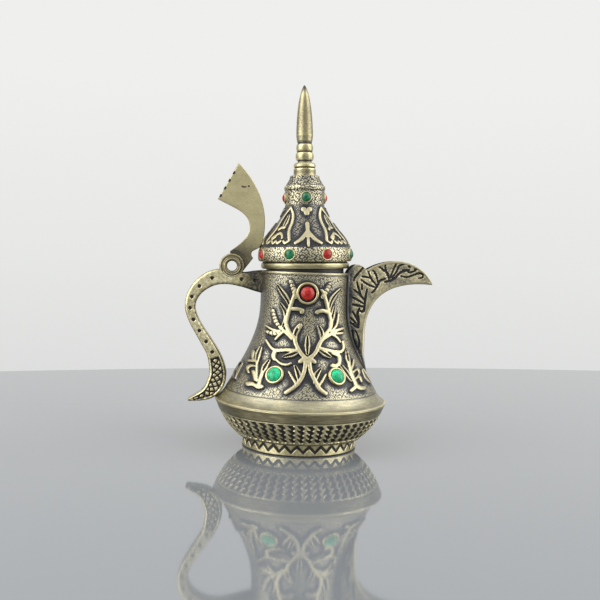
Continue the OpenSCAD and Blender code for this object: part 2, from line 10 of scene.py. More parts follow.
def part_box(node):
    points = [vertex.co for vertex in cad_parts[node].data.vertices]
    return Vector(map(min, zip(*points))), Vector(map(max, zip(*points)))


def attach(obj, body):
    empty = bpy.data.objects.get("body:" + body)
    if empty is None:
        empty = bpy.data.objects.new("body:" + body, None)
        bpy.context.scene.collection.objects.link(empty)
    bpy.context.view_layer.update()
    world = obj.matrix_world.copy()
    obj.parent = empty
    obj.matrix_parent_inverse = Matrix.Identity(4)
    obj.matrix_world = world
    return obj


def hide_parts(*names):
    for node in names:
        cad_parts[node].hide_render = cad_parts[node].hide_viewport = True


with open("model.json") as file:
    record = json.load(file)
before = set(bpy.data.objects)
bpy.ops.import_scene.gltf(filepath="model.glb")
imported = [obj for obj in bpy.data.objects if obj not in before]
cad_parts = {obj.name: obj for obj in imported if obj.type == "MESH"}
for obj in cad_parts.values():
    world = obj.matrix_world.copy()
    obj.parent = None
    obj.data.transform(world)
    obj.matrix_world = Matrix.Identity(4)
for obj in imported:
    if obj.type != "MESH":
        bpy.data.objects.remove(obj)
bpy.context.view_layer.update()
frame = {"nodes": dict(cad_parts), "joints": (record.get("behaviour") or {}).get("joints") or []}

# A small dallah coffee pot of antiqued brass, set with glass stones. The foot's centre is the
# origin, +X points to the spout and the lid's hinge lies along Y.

MM = 0.001


# ---- Sizes, in millimetres, from the frame where it knows them ----

def corner_low(node):
    return [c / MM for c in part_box(node)[0]]


def corner_high(node):
    return [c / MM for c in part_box(node)[1]]


HINGE = frame["joints"][0]["pos_m"]
HINGE_X, _, HINGE_Z = (c / MM for c in HINGE)
RIDGE_R = corner_high("lower_bowl")[1]
RIDGE_Z = corner_low("upper_body")[2]
NECK_TOP = corner_high("upper_body")[2]
FOOT_R = corner_high("foot_ring")[1]
FOOT_H = corner_high("foot_ring")[2]
HANDLE_T = 2 * corner_high("handle")[1]
LEVER_T = 2 * corner_high("lid_lever")[1]
SPOUT_HALF = corner_high("spout")[1]

NECK_R = 18.7                    # ground of the neck between its leaves
SHOULDER_R = RIDGE_R - 4.3       # where the plain band over the ridge ends
SHOULDER_Z = RIDGE_Z + 4.8
STRAIGHT_Z = NECK_TOP - 13.3     # the neck is straight from here up
WALL = 1.5
NECK_STONE_Z = NECK_TOP - 8.6
BELLY_STONE_Z = 33.5
BELLY_STONE_ANGLE = 27           # degrees from the middle of the front or back

LID_AJAR = 2.2                   # degrees that the lid rests open
LID_Z = NECK_TOP + 0.6           # underside of the lid's rim when level
DOME_Z = LID_Z + 2.6             # top of the rim, underside of the jewelled band
BAND_TOP = DOME_Z + 5.9
RING_Z = LID_Z + 33.1            # top of the collar
FINIAL_Z = RING_Z + 6.1
SPIRE_Z = FINIAL_Z + 5.6
SPIRE_TOP = SPIRE_Z + 33
LID_R = 20.3                     # jewelled band
RIM_R = 18.9
SPIGOT_R = RIM_R - 1.55          # step of the rim that the dome sits round
COLLAR_R = 8.5
FINIAL_R = 4.75
SPIRE_R = 3.6
STUD_R = 1.52                    # bore for the stud inside the finial

# Wear runs from 0, where black patina stays, to 1, where the brass is rubbed pale
# The insides of turned pieces are painted near black: painted shade where they show through gaps
INSIDE_SHADE_WEAR = 0.04
EDGE_RUB = 0.7                   # wear that an edge gains for each mm that it stands out


# ---- Mesh helpers ----

def curve(a, b, c, d, n=14):
    """Points of a Bezier curve between a and d."""
    t = np.linspace(0, 1, n + 1)[:, None]
    a, b, c, d = (np.array(p, float) for p in (a, b, c, d))
    return a * (1 - t) ** 3 + 3 * b * (1 - t) ** 2 * t + 3 * c * (1 - t) * t ** 2 + d * t ** 3


def joined(*parts):
    """One line from points and lines, end to end."""
    return np.vstack([np.atleast_2d(np.array(p, float)) for p in parts])


def offset(r, z, *steps):
    """Points of an outline, each so far out and up from one place."""
    return [(r + out, z + up) for out, up in steps]


def spline(points, n):
    """A smooth line through points, n steps to each span."""
    p = np.array(points, float)
    ends = np.vstack([p[:1], p, p[-1:]])
    steps = [(ends[i:i + 4], k / n) for i in range(len(p) - 1) for k in range(n)]
    line = [(2 * b + (c - a) * t + (2 * a - 5 * b + 4 * c - d) * t * t
             + (3 * b - a - 3 * c + d) * t ** 3) / 2 for (a, b, c, d), t in steps]
    return np.array(line + [p[-1]])


def distance_along(line):
    """How far along a line each of its points lies."""
    return np.concatenate([[0], np.cumsum(np.linalg.norm(np.diff(line[:, :2], axis=0), axis=1))])


def dense(line, step=0.0, count=0):
    """The same line with evenly spaced points, a step apart or count steps in all."""
    line = np.array(line, float)
    run = distance_along(line)
    count = count or max(int(run[-1] / step), 2)
    at = np.linspace(0, run[-1], count + 1)
    return np.stack([np.interp(at, run, line[:, k]) for k in range(line.shape[1])], 1)


def normals_2d(line):
    """Unit normals to the right of a line's direction."""
    d = np.gradient(line[:, :2], axis=0)
    d /= np.linalg.norm(d, axis=1)[:, None] + 1e-12
    return np.stack([d[:, 1], -d[:, 0]], 1)


def blurred(field, rows, columns, wrap):
    """A field averaged over so many rows and columns each way."""
    for axis, reach in ((0, rows), (1, columns)):
        reach = max(int(reach), 1)
        pad = [(0, 0), (0, 0)]
        pad[axis] = (reach, reach)
        mode = "wrap" if axis == 1 and wrap else "edge"
        total = np.cumsum(np.pad(field, pad, mode=mode), axis=axis)
        size = field.shape[axis]
        ahead = np.take(total, range(2 * reach, 2 * reach + size), axis=axis)
        behind = np.take(total, range(size), axis=axis)
        field = (ahead - behind) / (2 * reach)
    return field


def speckle(u, v, pitch, seed):
    """Smooth random grain over places u, v, from about -1 to 1."""
    cells = 128
    lattice = np.random.default_rng(seed).uniform(-1.6, 1.6, (cells, cells))
    u, v = u / pitch, v / pitch
    i, j = np.floor(u).astype(int), np.floor(v).astype(int)
    s, t = smooth_step(u - i, 0, 1), smooth_step(v - j, 0, 1)

    def corner(a, b):
        return lattice[(i + a) % cells, (j + b) % cells]
    near = corner(0, 0) * (1 - s) + corner(1, 0) * s
    far = corner(0, 1) * (1 - s) + corner(1, 1) * s
    return near * (1 - t) + far * t


def smooth_step(x, low, high):
    """An even rise from 0 at low to 1 at high."""
    t = np.clip((x - low) / (high - low), 0, 1)
    return t * t * (3 - 2 * t)


def skin(x, y, z, wrap_rows=False, wrap_columns=True, capped=False):
    """Points over a grid of places, quads between them, and caps on the open ends."""
    index = np.arange(x.size).reshape(x.shape)
    grid = np.vstack([index, index[:1]]) if wrap_rows else index
    grid = np.hstack([grid, grid[:, :1]]) if wrap_columns else grid
    faces = np.stack([grid[:-1, :-1], grid[:-1, 1:], grid[1:, 1:], grid[1:, :-1]], -1)
    faces = faces.reshape(-1, 4).tolist()
    if capped:
        ends = (index[0, ::-1], index[-1]) if wrap_columns else (index[::-1, 0], index[:, -1])
        faces += [end.tolist() for end in ends]
    return np.stack([x, y, z], -1).reshape(-1, 3), faces


def into_scene(name, data):
    """A new object in the scene."""
    thing = bpy.data.objects.new(name, data)
    bpy.context.scene.collection.objects.link(thing)
    return thing


def tie(piece, body, nodes=(), slot="antique_brass", crease=40):
    """Smooths a piece except at edges sharper than crease degrees, and ties it to its body
    and to the CAD nodes that it stands for."""
    piece.data.polygons.foreach_set("use_smooth", [True] * len(piece.data.polygons))
    piece.data.set_sharp_from_angle(angle=math.radians(crease))
    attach(piece, body)
    if nodes:
        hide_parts(*nodes)


def add_piece(name, shape, wear, finish, body, nodes=(), merge=0.0, **more):
    """A piece from its points in mm and its faces, with its wear painted on. Points closer than
    merge become one."""
    points, faces = shape
    mesh = bpy.data.meshes.new(name)
    mesh.from_pydata(points * MM, [], faces)
    layer = mesh.attributes.new("wear", "FLOAT", "POINT")
    layer.data.foreach_set("value", np.clip(wear, 0, 1).astype(np.float32).ravel())
    if merge:
        tidy = bmesh.new()
        tidy.from_mesh(mesh)
        bmesh.ops.remove_doubles(tidy, verts=tidy.verts, dist=merge * MM)
        bare = [e for e in tidy.edges if not e.link_faces]
        bmesh.ops.delete(tidy, geom=bare, context="EDGES")
        bmesh.ops.recalc_face_normals(tidy, faces=tidy.faces)
        tidy.to_mesh(mesh)
        tidy.free()
    mesh.materials.append(finish)
    tie(into_scene(name, mesh), body, nodes, **more)


def on_lid(points):
    """Points of the level lid, set down on the lever's heel."""
    a = math.radians(LID_AJAR)
    p = points.copy()
    x, z = p[:, 0] - HINGE_X, p[:, 2] - HINGE_Z
    p[:, 0] = HINGE_X + x * math.cos(a) - z * math.sin(a)
    p[:, 2] = HINGE_Z + x * math.sin(a) + z * math.cos(a)
    return p


def as_drawn(points):
    """The place of a piece that is drawn where it stands."""
    return points


def pebbles(u, v, pitch, seed):
    """Close round grains of a hammered ground, from 0 in the gaps to 1 on top. Their lattice is
    turned, so that no rows show."""
    cells = 64
    centres = np.random.default_rng(seed).uniform(0.16, 0.84, (2, cells, cells))
    u, v = (0.82 * u - 0.57 * v) / pitch, (0.57 * u + 0.82 * v) / pitch
    i, j = np.floor(u).astype(int), np.floor(v).astype(int)
    away = np.full(u.shape, 9.0)
    for a in (-1, 0, 1):
        for b in (-1, 0, 1):
            cell = ((i + a) % cells, (j + b) % cells)
            across, along = i + a + centres[0][cell] - u, j + b + centres[1][cell] - v
            away = np.minimum(away, np.hypot(across, along))
    return 1 - smooth_step(away, 0.15, 0.68)


def near_raised(raised, angle, r, z, reach=1.7):
    """Share of raised work within reach of each point of a turned surface."""
    row = np.hypot(np.diff(r[:, 0]), np.diff(z[:, 0])).mean()
    column = abs(angle[0, 1] - angle[0, 0]) * r.mean()
    wrap = abs(angle[0, -1] - angle[0, 0]) > 6.2     # radians, nearly a full turn
    for _ in range(2):
        raised = blurred(raised, reach / row, reach / column, wrap)
    return raised


def aged(raised, ground, near, top=0.72):
    """Wear of a casting: rubbed pale on the raised work, black in the hollows round it."""
    hollow = ground * (1 - smooth_step(near, 0.03, 0.36))
    return hollow + (top - hollow) * smooth_step(raised, 0.4, 0.95)


def turned(name, outer, inner, finish, body, nodes=(), columns=240, height=None, edge=EDGE_RUB,
           place=as_drawn, turn=(0.0, 360.0), ends=None, **more):
    """A piece of revolution. outer runs up the outside with height() of work on it, inner runs
    back down. turn gives the angles in degrees, 0 at the front and 90 at the spout's side, and
    ends() shifts them row by row. place() moves the piece from the pot's axis to its place."""
    outer = np.array(outer, float)
    loop = np.vstack([outer, np.array(inner, float)])
    closed_ring = turn[1] - turn[0] >= 360
    n_columns = columns if closed_ring else columns + 1
    share = np.arange(n_columns) / columns
    start, stop = (np.full(len(loop), t) for t in turn) if ends is None else ends(loop, *turn)
    angle = np.radians(start[:, None] + (stop - start)[:, None] * share[None, :])
    r = np.repeat(loop[:, :1], n_columns, 1)
    z = np.repeat(loop[:, 1:2], n_columns, 1)
    rows = len(outer)
    # inside rows keep a near black wear, which is painted shade where they show in gaps
    wear = np.full_like(r, INSIDE_SHADE_WEAR)
    if height is not None:
        work, wear[:rows] = height(angle[:rows], r[:rows], z[:rows])
        wear[:rows] += (edge * line_relief(outer))[:, None]
        side = normals_2d(outer)
        r[:rows] += work * side[:, :1]
        z[:rows] += work * side[:, 1:2]
    points, faces = skin(r * np.sin(angle), -r * np.cos(angle), z, wrap_rows=True,
                         wrap_columns=closed_ring, capped=not closed_ring)
    add_piece(name, (place(points), faces), wear, finish, body, nodes, **more)


def line_relief(line, reach=1.0):
    """How far each point of an outline stands out from its neighbours within reach."""
    step = np.linalg.norm(np.diff(line, axis=0), axis=1).mean()
    n = max(int(reach / step), 1)
    if len(line) < 4 * n:
        return np.zeros(len(line))
    padded = np.pad(line, [(n, n), (0, 0)], mode="reflect", reflect_type="odd")
    window = np.ones(2 * n + 1) / (2 * n + 1)
    mean = np.stack([np.convolve(padded[:, k], window, "valid") for k in (0, 1)], 1)
    return ((line - mean) * normals_2d(line)).sum(1)


# ---- Drawn work: strokes that are raised from a casting or cut into it ----

# Width of each kind of stroke at its start, middle and end, in squares of the drawing, and
# how deep the vein along its middle is, as a share of its height
STROKES = {
    "stem": (5.4, 5.2, 5.2, 0.0),
    "branch": (4.8, 5.0, 3.8, 0.0),
    "leaf": (4.2, 7.8, 4.2, 0.8),
    "finger": (3.6, 3.6, 3.0, 0.0),
    "twist": (4.6, 6.4, 4.6, 0.0),
    "knob": (5.6, 5.6, 5.4, 0.0),
    "border": (3.6, 3.8, 3.6, 0.0),
    "cut": (1.8, 2.7, 1.6, 0.0),
    "hub": (2.3, 3.1, 2.3, 0.0),
    "lobe": (7.0, 6.6, 6.0, 0.0),
    "notch": (2.4, 6.2, 3.6, 0.0),
}
TWIST_PITCH = 3.6                # squares between the slanting nicks of a twisted stroke


def worked(u, v, strokes):
    """How high drawn strokes stand at places u, v of the drawing, from 0 to 1."""
    place = np.stack([np.ravel(u), np.ravel(v)], 1)
    raised = np.zeros(len(place))
    for kind, points in strokes:
        start, middle, end, vein = STROKES[kind]
        path = spline(points, 5)
        half = np.interp(np.linspace(0, 1, len(path)), [0, 0.5, 1], [start, middle, end]) / 2
        inside = ((place > path.min(0) - 4) & (place < path.max(0) + 4)).all(1).nonzero()[0]
        p = place[inside]
        nearest = np.full(len(p), 9.0)         # 1 is the stroke's edge
        place_along = np.zeros(len(p))
        run = 0.0
        for a, b, wide_a, wide_b in zip(path, path[1:], half, half[1:]):
            along = b - a
            s = np.clip((p - a) @ along / (along @ along + 1e-9), 0, 1)
            d = np.hypot(*(p - a - s[:, None] * along).T) / (wide_a + (wide_b - wide_a) * s)
            length = np.linalg.norm(along)
            place_along = np.where(d < nearest, run + s * length, place_along)
            nearest = np.minimum(nearest, d)
            run += length
        stand = smooth_step(1.05 - nearest, 0, 0.4) * (1 - 0.28 * np.minimum(nearest, 1) ** 2)
        stand *= 1 - vein * smooth_step(0.36 - nearest, 0, 0.22)
        if kind == "twist":
            nick = np.abs((place_along + nearest) / TWIST_PITCH % 1 - 0.5)
            stand *= 1 - 0.32 * smooth_step(nick, 0.34, 0.46)
        raised[inside] = np.maximum(raised[inside], stand)
    return raised.reshape(np.shape(u))


# Leaf work on the front of the body. One square is about 0.4 mm: u to the right of the
# middle, v up from the edge of the plain band.
LEAFWORK = [
    # left plume
    ("stem", [(0, 40), (-5, 45), (-10, 54), (-12, 61), (-17, 67), (-20, 75), (-19, 83),
              (-17, 91)]),
    ("branch", [(-17, 91), (-15, 98), (-13, 105), (-12, 111)]),
    ("twist", [(-12, 103), (-13, 108), (-15, 114), (-17, 119)]),
    ("leaf", [(-16, 93), (-20, 101), (-25, 108), (-29, 114)]),
    ("leaf", [(-23, 72), (-20, 81), (-21, 88), (-26, 96)]),
    ("knob", [(-16, 91), (-9, 91), (-5, 90), (-5, 88)]),
    # left arms
    ("branch", [(-14, 60), (-20, 66), (-26, 71)]),
    ("twist", [(-25, 70), (-30, 77), (-33, 88)]),
    ("finger", [(-26, 67), (-33, 68), (-39, 71)]),
    ("twist", [(-26, 66), (-32, 64), (-38, 65)]),
    ("finger", [(-23, 66), (-27, 62), (-30, 58)]),
    ("branch", [(-9, 48), (-20, 48), (-29, 47), (-34, 49), (-39, 56)]),
    ("leaf", [(-8, 47), (-14, 44), (-22, 41)]),
    ("knob", [(-30, 47), (-32, 41), (-31, 38)]),
    ("finger", [(-30, 38), (-25, 34), (-19, 33), (-15, 35)]),
    # between the plumes
    ("leaf", [(-11, 57), (-11, 65), (-8, 72), (-6, 75)]),
    ("knob", [(-7, 72), (-6, 74)]),
    ("leaf", [(1, 63), (1, 54), (1, 45)]),
    # knot in the middle, and what hangs from it to the left
    ("knob", [(-6, 37), (-3, 39), (1, 36), (5, 39), (8, 37)]),
    ("stem", [(-1, 36), (-2, 28), (-5, 20), (-11, 12), (-20, 5)]),
    ("leaf", [(-7, 16), (-8, 24), (-11, 32)]),
    ("finger", [(-9, 13), (-13, 19), (-17, 26)]),
    # right plume
    ("stem", [(1, 40), (6, 43), (10, 48), (14, 57), (19, 65), (24, 72), (25, 78), (23, 85),
              (21, 93)]),
    ("branch", [(21, 93), (19, 100), (16, 108), (14, 111)]),
    ("twist", [(15, 104), (19, 110), (22, 117)]),
    ("leaf", [(22, 90), (24, 99), (28, 106), (34, 112)]),
    ("leaf", [(24, 75), (26, 84), (28, 94)]),
    ("finger", [(25, 68), (31, 75), (33, 86)]),
    ("knob", [(22, 88), (16, 90), (11, 89), (10, 88)]),
    # right arms
    ("branch", [(16, 60), (24, 65), (31, 69), (39, 71)]),
    ("finger", [(25, 66), (31, 66), (38, 66)]),
    ("finger", [(26, 65), (31, 62), (35, 57)]),
    ("leaf", [(16, 59), (15, 67), (12, 74)]),
    ("branch", [(13, 51), (21, 49), (29, 47), (36, 47), (39, 51), (38, 57)]),
    ("knob", [(27, 46), (33, 43), (34, 37), (31, 33), (26, 33)]),
    ("leaf", [(13, 49), (19, 45), (24, 42)]),
    # what hangs from the knot to the right
    ("stem", [(3, 36), (4, 28), (8, 19), (13, 10), (19, 5)]),
    ("leaf", [(8, 16), (10, 24), (14, 30)]),
    ("finger", [(11, 12), (15, 17), (19, 24)]),
    # sprig beyond the left belly stone
    ("knob", [(-57, 9), (-52, 10), (-47, 8), (-43, 9)]),
    ("branch", [(-46, 10), (-44, 18), (-42, 24)]),
    ("leaf", [(-43, 22), (-40, 29), (-36, 36)]),
    ("finger", [(-48, 14), (-48, 24), (-48, 33)]),
    ("leaf", [(-48, 32), (-47, 40), (-44, 48)]),
    ("finger", [(-48, 33), (-52, 36), (-51, 43)]),
    ("finger", [(-48, 33), (-52, 33), (-56, 32)]),
    ("knob", [(-49, 15), (-50, 19), (-51, 22)]),
    ("finger", [(-56, 21), (-57, 25), (-53, 28), (-48, 28)]),
    ("leaf", [(-70, 12), (-68, 20), (-63, 28)]),
    # sprig beyond the right belly stone
    ("knob", [(46, 7), (52, 10), (56, 8), (61, 7)]),
    ("stem", [(52, 10), (49, 17), (46, 26), (44, 35)]),
    ("leaf", [(45, 32), (43, 40), (42, 47)]),
    ("leaf", [(46, 17), (41, 25), (35, 33)]),
    ("finger", [(46, 27), (49, 32), (50, 37)]),
    ("finger", [(49, 25), (54, 27), (56, 23), (53, 19)]),
    ("finger", [(51, 18), (56, 19), (58, 14)]),
    ("leaf", [(61, 25), (65, 18), (70, 11)]),
]
LEAF_HEIGHT = 0.9
LEAF_SQUARE = 0.405              # width of one square, in mm round the body
HAMMER_DEPTH = 0.1
# From grain to grain of the hammered ground, as coarse as it needs to show
GRAIN = 0.76
LID_GRAIN = 0.92


def belly_r(z):
    """Radius of the belly's ground at height z."""
    t = np.clip((z - SHOULDER_Z) / (STRAIGHT_Z - SHOULDER_Z), 0, 1)
    return NECK_R + (SHOULDER_R - NECK_R) * (1 - t) ** (1.5 + 0.6 * t)


def leaf_squares(angle, r, z):
    """Place on the flat drawing that a point of the body answers to. The squares stand a
    little taller towards the neck, where the casting is steeper."""
    first, growth = 0.3665, 0.00042
    rise = z - SHOULDER_Z - 0.55
    tall = np.sqrt(np.maximum(0.1343 + 0.00085 * rise, 0.01))
    return r * np.sin(angle) / LEAF_SQUARE, (tall - first) / growth


def stone_seats(local, r, z):
    """Round places of half a body, from 0 to 1, that are kept plain for its three stones."""
    seats = np.zeros_like(r)
    for at, up, wide in ((0, NECK_STONE_Z, 4.6), (-BELLY_STONE_ANGLE, BELLY_STONE_Z, 3.8),
                         (BELLY_STONE_ANGLE, BELLY_STONE_Z, 3.8)):
        away = np.hypot(r * np.sin(local - math.radians(at)), z - up)
        seats = np.maximum(seats, 1 - smooth_step(away, wide - 0.3, wide + 0.1))
    return seats


def body_height(middle):
    """Raised leaf work and hammered ground of one half of the upper casting."""
    def height(angle, r, z):
        local = angle - math.radians(middle)
        raised = worked(*leaf_squares(local, r, z), LEAFWORK) * (np.cos(local) > 0.15)
        seats = stone_seats(local, r, z)
        near = near_raised(np.maximum(raised, seats), angle, r, z)
        ground = smooth_step(z, SHOULDER_Z + 0.1, SHOULDER_Z + 0.4)
        ground *= 1 - smooth_step(z, NECK_TOP - 1.2, NECK_TOP - 0.9)
        grain = pebbles(angle * r, z * 1.15, GRAIN, 3)
        # The ground is painted darker on the neck's sides by the roots of the spout and handle:
        # patina, and painted shade where those parts meet the neck
        root_patina_and_shade = smooth_step(np.abs(np.sin(angle)), 0.82, 0.97) * (1 - smooth_step(r, 22, 28))
        field = (0.24 + 0.5 * grain) * (1 - 0.2 * root_patina_and_shade) * (1 - seats)
        line = np.exp(-((z - SHOULDER_Z) / 0.22) ** 2)
        plain = 0.6 + 0.04 * speckle(angle * 3, z, 0.22, 5) - 0.35 * line
        plain += 0.22 * (1 - smooth_step(z, RIDGE_Z + 0.4, RIDGE_Z + 1.0))
        wear = plain + (aged(raised, field, near) - plain) * ground
        hammered_in = HAMMER_DEPTH * (grain - 1) * ground * (1 - raised)
        return LEAF_HEIGHT * raised + hammered_in - 0.16 * line, wear
    return height


def beside_slot(loop, start, stop):
    """The half castings stop short of the middle where the pouring slot is."""
    low, high, half = NECK_TOP - 31, NECK_TOP - 9, 3.0
    z = loop[:, 1]
    over = np.maximum(np.maximum(low - z, z - high), 0)
    clear = np.degrees(np.arcsin(np.sqrt(np.maximum(half * half - over * over, 0)) / loop[:, 0]))
    slot_at_start = start == 90
    return start + clear * slot_at_start, stop - clear * (not slot_at_start)


def upper_casting(finish):
    """The upper body, cast in two halves that meet behind the handle and the spout."""
    band = curve(*offset(RIDGE_R, RIDGE_Z, (0, 0.5), (-1.94, 1.22), (-3.44, 3.12)),
                 (SHOULDER_R, SHOULDER_Z))
    heights = np.linspace(SHOULDER_Z, STRAIGHT_Z, 40)
    belly = np.stack([belly_r(heights), heights], 1)
    lip = offset(NECK_R, NECK_TOP, (0, -1.35), (0.2, -1.1), (0.25, -0.5), (0.2, -0.15), (0, 0))
    outer = joined(offset(RIDGE_R, RIDGE_Z, (-0.12, 0), (0, 0.12)), band, belly[1:], lip)
    inside = dense(joined(belly, (NECK_R, NECK_TOP)), step=1.6)
    inner = (inside - WALL * normals_2d(inside))[::-1]
    inner = joined((NECK_R - WALL, NECK_TOP), inner[1:],
                   offset(RIDGE_R, RIDGE_Z, (-2.6, 1.1), (-2.6, 0)))
    for name, middle in (("front", 0), ("back", 180)):
        turned("upper_body_" + name, dense(outer, step=0.25), inner, finish, "pot", ["upper_body"],
               columns=340, height=body_height(middle), turn=(middle - 90, middle + 90),
               ends=beside_slot)


# ---- Lower bowl and foot ----

# One slanting notch of the herringbone, on squares of about 0.36 mm, and how many there are
# round the bowl and up it
NOTCH = [(2.2, 6.7), (3.4, 5.4), (5.4, 3.7), (7.2, 2.1), (6.4, 0.3)]
COLUMN_PITCH, ROW_PITCH = 10.0, 7.0
HERRINGBONE_COLUMNS, HERRINGBONE_ROWS = 54, 4
NOTCH_DEPTH = 0.62
TEETH = 31                       # triangles round the foot
TOOTH_DEPTH = 0.45


def bowl_height(angle, r, z):
    """Rows of slanting notches cast round the bowl, under a plain brushed band."""
    low, high = FOOT_H + 1.5, RIDGE_Z - 5.2
    u = angle / (2 * math.pi) * HERRINGBONE_COLUMNS * COLUMN_PITCH
    v = (z - low) / (high - low) * HERRINGBONE_ROWS * ROW_PITCH
    marks = [("notch", [(p + i * COLUMN_PITCH, q + j * ROW_PITCH) for p, q in NOTCH])
             for i in (-1, 0, 1) for j in (-1, 0, 1)]
    band = smooth_step(z, low - 0.2, low) * (1 - smooth_step(z, high, high + 0.2))
    cut = worked(u % COLUMN_PITCH, v % ROW_PITCH, marks) * band
    groove = np.exp(-((z - high - 0.75) / 0.2) ** 2)
    brushed_band = smooth_step(z, high + 0.5, high + 0.9)
    brush = speckle(angle * 3, z, 0.25, 7)
    wear = 0.82 + 0.1 * speckle(angle * r, z, 0.6, 8) + 0.08 * smooth_step(z, high, high + 0.3)
    # The brushed band under the ridge faces down, and is painted darker than the notched rows:
    # painted shade
    wear += (0.46 + 0.06 * brush - wear) * brushed_band
    wear *= 0.25 + 0.75 * smooth_step(z, FOOT_H + 0.25, FOOT_H + 0.75)
    return -NOTCH_DEPTH * cut - 0.15 * groove, (wear - 0.3 * groove) * (1 - cut)


def foot_height(angle, r, z):
    """Triangles cut round the foot, with their points down."""
    tooth = np.abs((angle / (2 * math.pi) * TEETH) % 1 - 0.5) * 2
    down = (FOOT_H - 0.7 - z) / 2.6        # 0 at the top of the triangles, 1 at their points
    stroke = 1 - smooth_step(np.abs(tooth - down), 0.18, 0.36)
    stroke *= (down > -0.12) * (down < 1.12)
    inside = smooth_step(tooth - down, 0.0, 0.25) * (down > 0)
    wear = 0.72 - 0.16 * inside + 0.08 * speckle(angle * r, z, 0.8, 9)
    # The wear falls to black over the bottom 0.75 mm: a painted contact shadow where the foot
    # stands on the table
    return -TOOTH_DEPTH * stroke - 0.12 * inside, wear * (1 - stroke) * smooth_step(z, 0.4, 0.75)


def lower_casting(finish):
    """The bowl under the ridge, and the foot ring with its triangles."""
    belly = curve((27.4, FOOT_H + 0.6), (30.5, FOOT_H + 3.2), (33.4, RIDGE_Z - 8.0),
                  (35.1, RIDGE_Z - 4.2), n=20)
    outer = joined((FOOT_R, FOOT_H), (27.0, FOOT_H + 0.15), belly, (35.25, RIDGE_Z - 4.0),
                   (36.6, RIDGE_Z - 0.7), offset(RIDGE_R, RIDGE_Z, (0, -0.25), (-0.12, 0)))
    inside = dense(belly, step=2.0)
    inner = joined((RIDGE_R - 3.5, RIDGE_Z), (inside - WALL * normals_2d(inside))[::-1],
                   (FOOT_R - 1, FOOT_H + WALL), (0.02, FOOT_H + WALL), (0.02, FOOT_H))
    turned("bowl_casting", dense(outer, step=0.24), inner, finish, "pot", ["lower_bowl"],
           columns=900, height=bowl_height)
    wall = [(FOOT_R - 0.25, 0), (FOOT_R, 0.25), (FOOT_R, FOOT_H - 0.2), (FOOT_R - 0.1, FOOT_H)]
    cover_seat = offset(FOOT_R, 0, (-3, FOOT_H), (-3, 1.8), (-1.98, 1.8), (-1.98, 0))
    turned("foot_casting", dense(wall, step=0.14), cover_seat, finish, "pot", ["foot_ring"],
           columns=1000, height=foot_height)


# ---- Lid ----

# Leaf work round the dome, on squares of DOME_SQUARE mm: u round the dome from the middle of a
# side or a corner, v up from the middle of the jewelled band
DOME_SQUARE = 0.41
DOME_LEAF_HEIGHT = 0.62


def with_mirror(*strokes):
    """Strokes, and the same strokes mirrored from left to right."""
    return [(kind, [(side * u, v) for u, v in points])
            for side in (1, -1) for kind, points in strokes]


SIDE_MOTIF = with_mirror(
    ("branch", [(0, 23), (4, 18), (8, 14), (13, 11)]),
    ("lobe", [(3, 46), (2, 45)]),
) + [
    ("stem", [(0, 18), (0, 22), (0, 27), (0, 31)]),
    ("finger", [(0, 15), (0, 11), (0, 6)]),
    ("lobe", [(0, 42), (0, 44)]),
]
CORNER_MOTIF = with_mirror(
    ("border", [(0, 48), (5, 41), (8, 33), (9, 25), (12, 19), (15, 14)]),
    ("finger", [(15, 13), (12, 11), (9, 13)]),
    ("finger", [(6, 13), (3, 11), (0, 13)]),
) + [
    ("knob", [(-7, 16), (-4, 18)]),
    ("finger", [(-5, 18), (0, 21), (4, 19), (6, 16)]),
    ("leaf", [(1, 27), (1, 32), (1, 39)]),
    ("finger", [(-4, 25), (-1, 27), (3, 27)]),
]


def dome_height(angle, r, z):
    """Raised work that repeats on the dome's four sides and four corners."""
    v = (z - DOME_Z - 2.9) / DOME_SQUARE
    raised = np.zeros_like(r)
    quarter = math.pi / 2
    for motif, middle in ((SIDE_MOTIF, 0), (CORNER_MOTIF, quarter / 2)):
        local = (angle - middle + quarter / 2) % quarter - quarter / 2
        raised = np.maximum(raised, worked(local * r / DOME_SQUARE, v, motif))
    near = near_raised(raised, angle, r, z, 1.6)
    grain = pebbles(angle * 12, z * 1.2, LID_GRAIN, 11)
    wear = aged(raised, 0.1 + 0.48 * grain, near)
    return DOME_LEAF_HEIGHT * raised + HAMMER_DEPTH * (grain - 1) * (1 - raised), wear


def hammered(seed, tone=0.18, depth=HAMMER_DEPTH):
    """Height and wear of a plain hammered ground."""
    def height(angle, r, z):
        grain = pebbles(angle * r.mean(), z * 1.1, LID_GRAIN, seed)
        drift = speckle(angle * r, z, 6.0, seed + 1)
        return depth * (grain - 1), tone + 0.6 * grain + 0.05 * drift
    return height


def brushed(seed, tone, tip=None):
    """Height and wear of a turned and brushed surface: faint rings, a wandering tone, and
    wear that falls off towards a tip."""
    def height(angle, r, z):
        rings = speckle(angle * 2, z, 0.3, seed)
        wear = tone + 0.04 * rings + 0.06 * speckle(angle * r, z * 0.6, 5.0, seed + 1)
        if tip is not None:
            wear -= 0.45 * smooth_step(z, tip - 4.0, tip)
        return 0.012 * rings, wear
    return height


def lid_piece(name, node, finish, outer, inner, step, columns, height, edge=EDGE_RUB):
    """A turned piece of the lid, with its outside drawn in steps of so many mm."""
    turned(name, dense(outer, step=step), inner, finish, "lid", [node], columns=columns,
           height=height, edge=edge, place=on_lid)


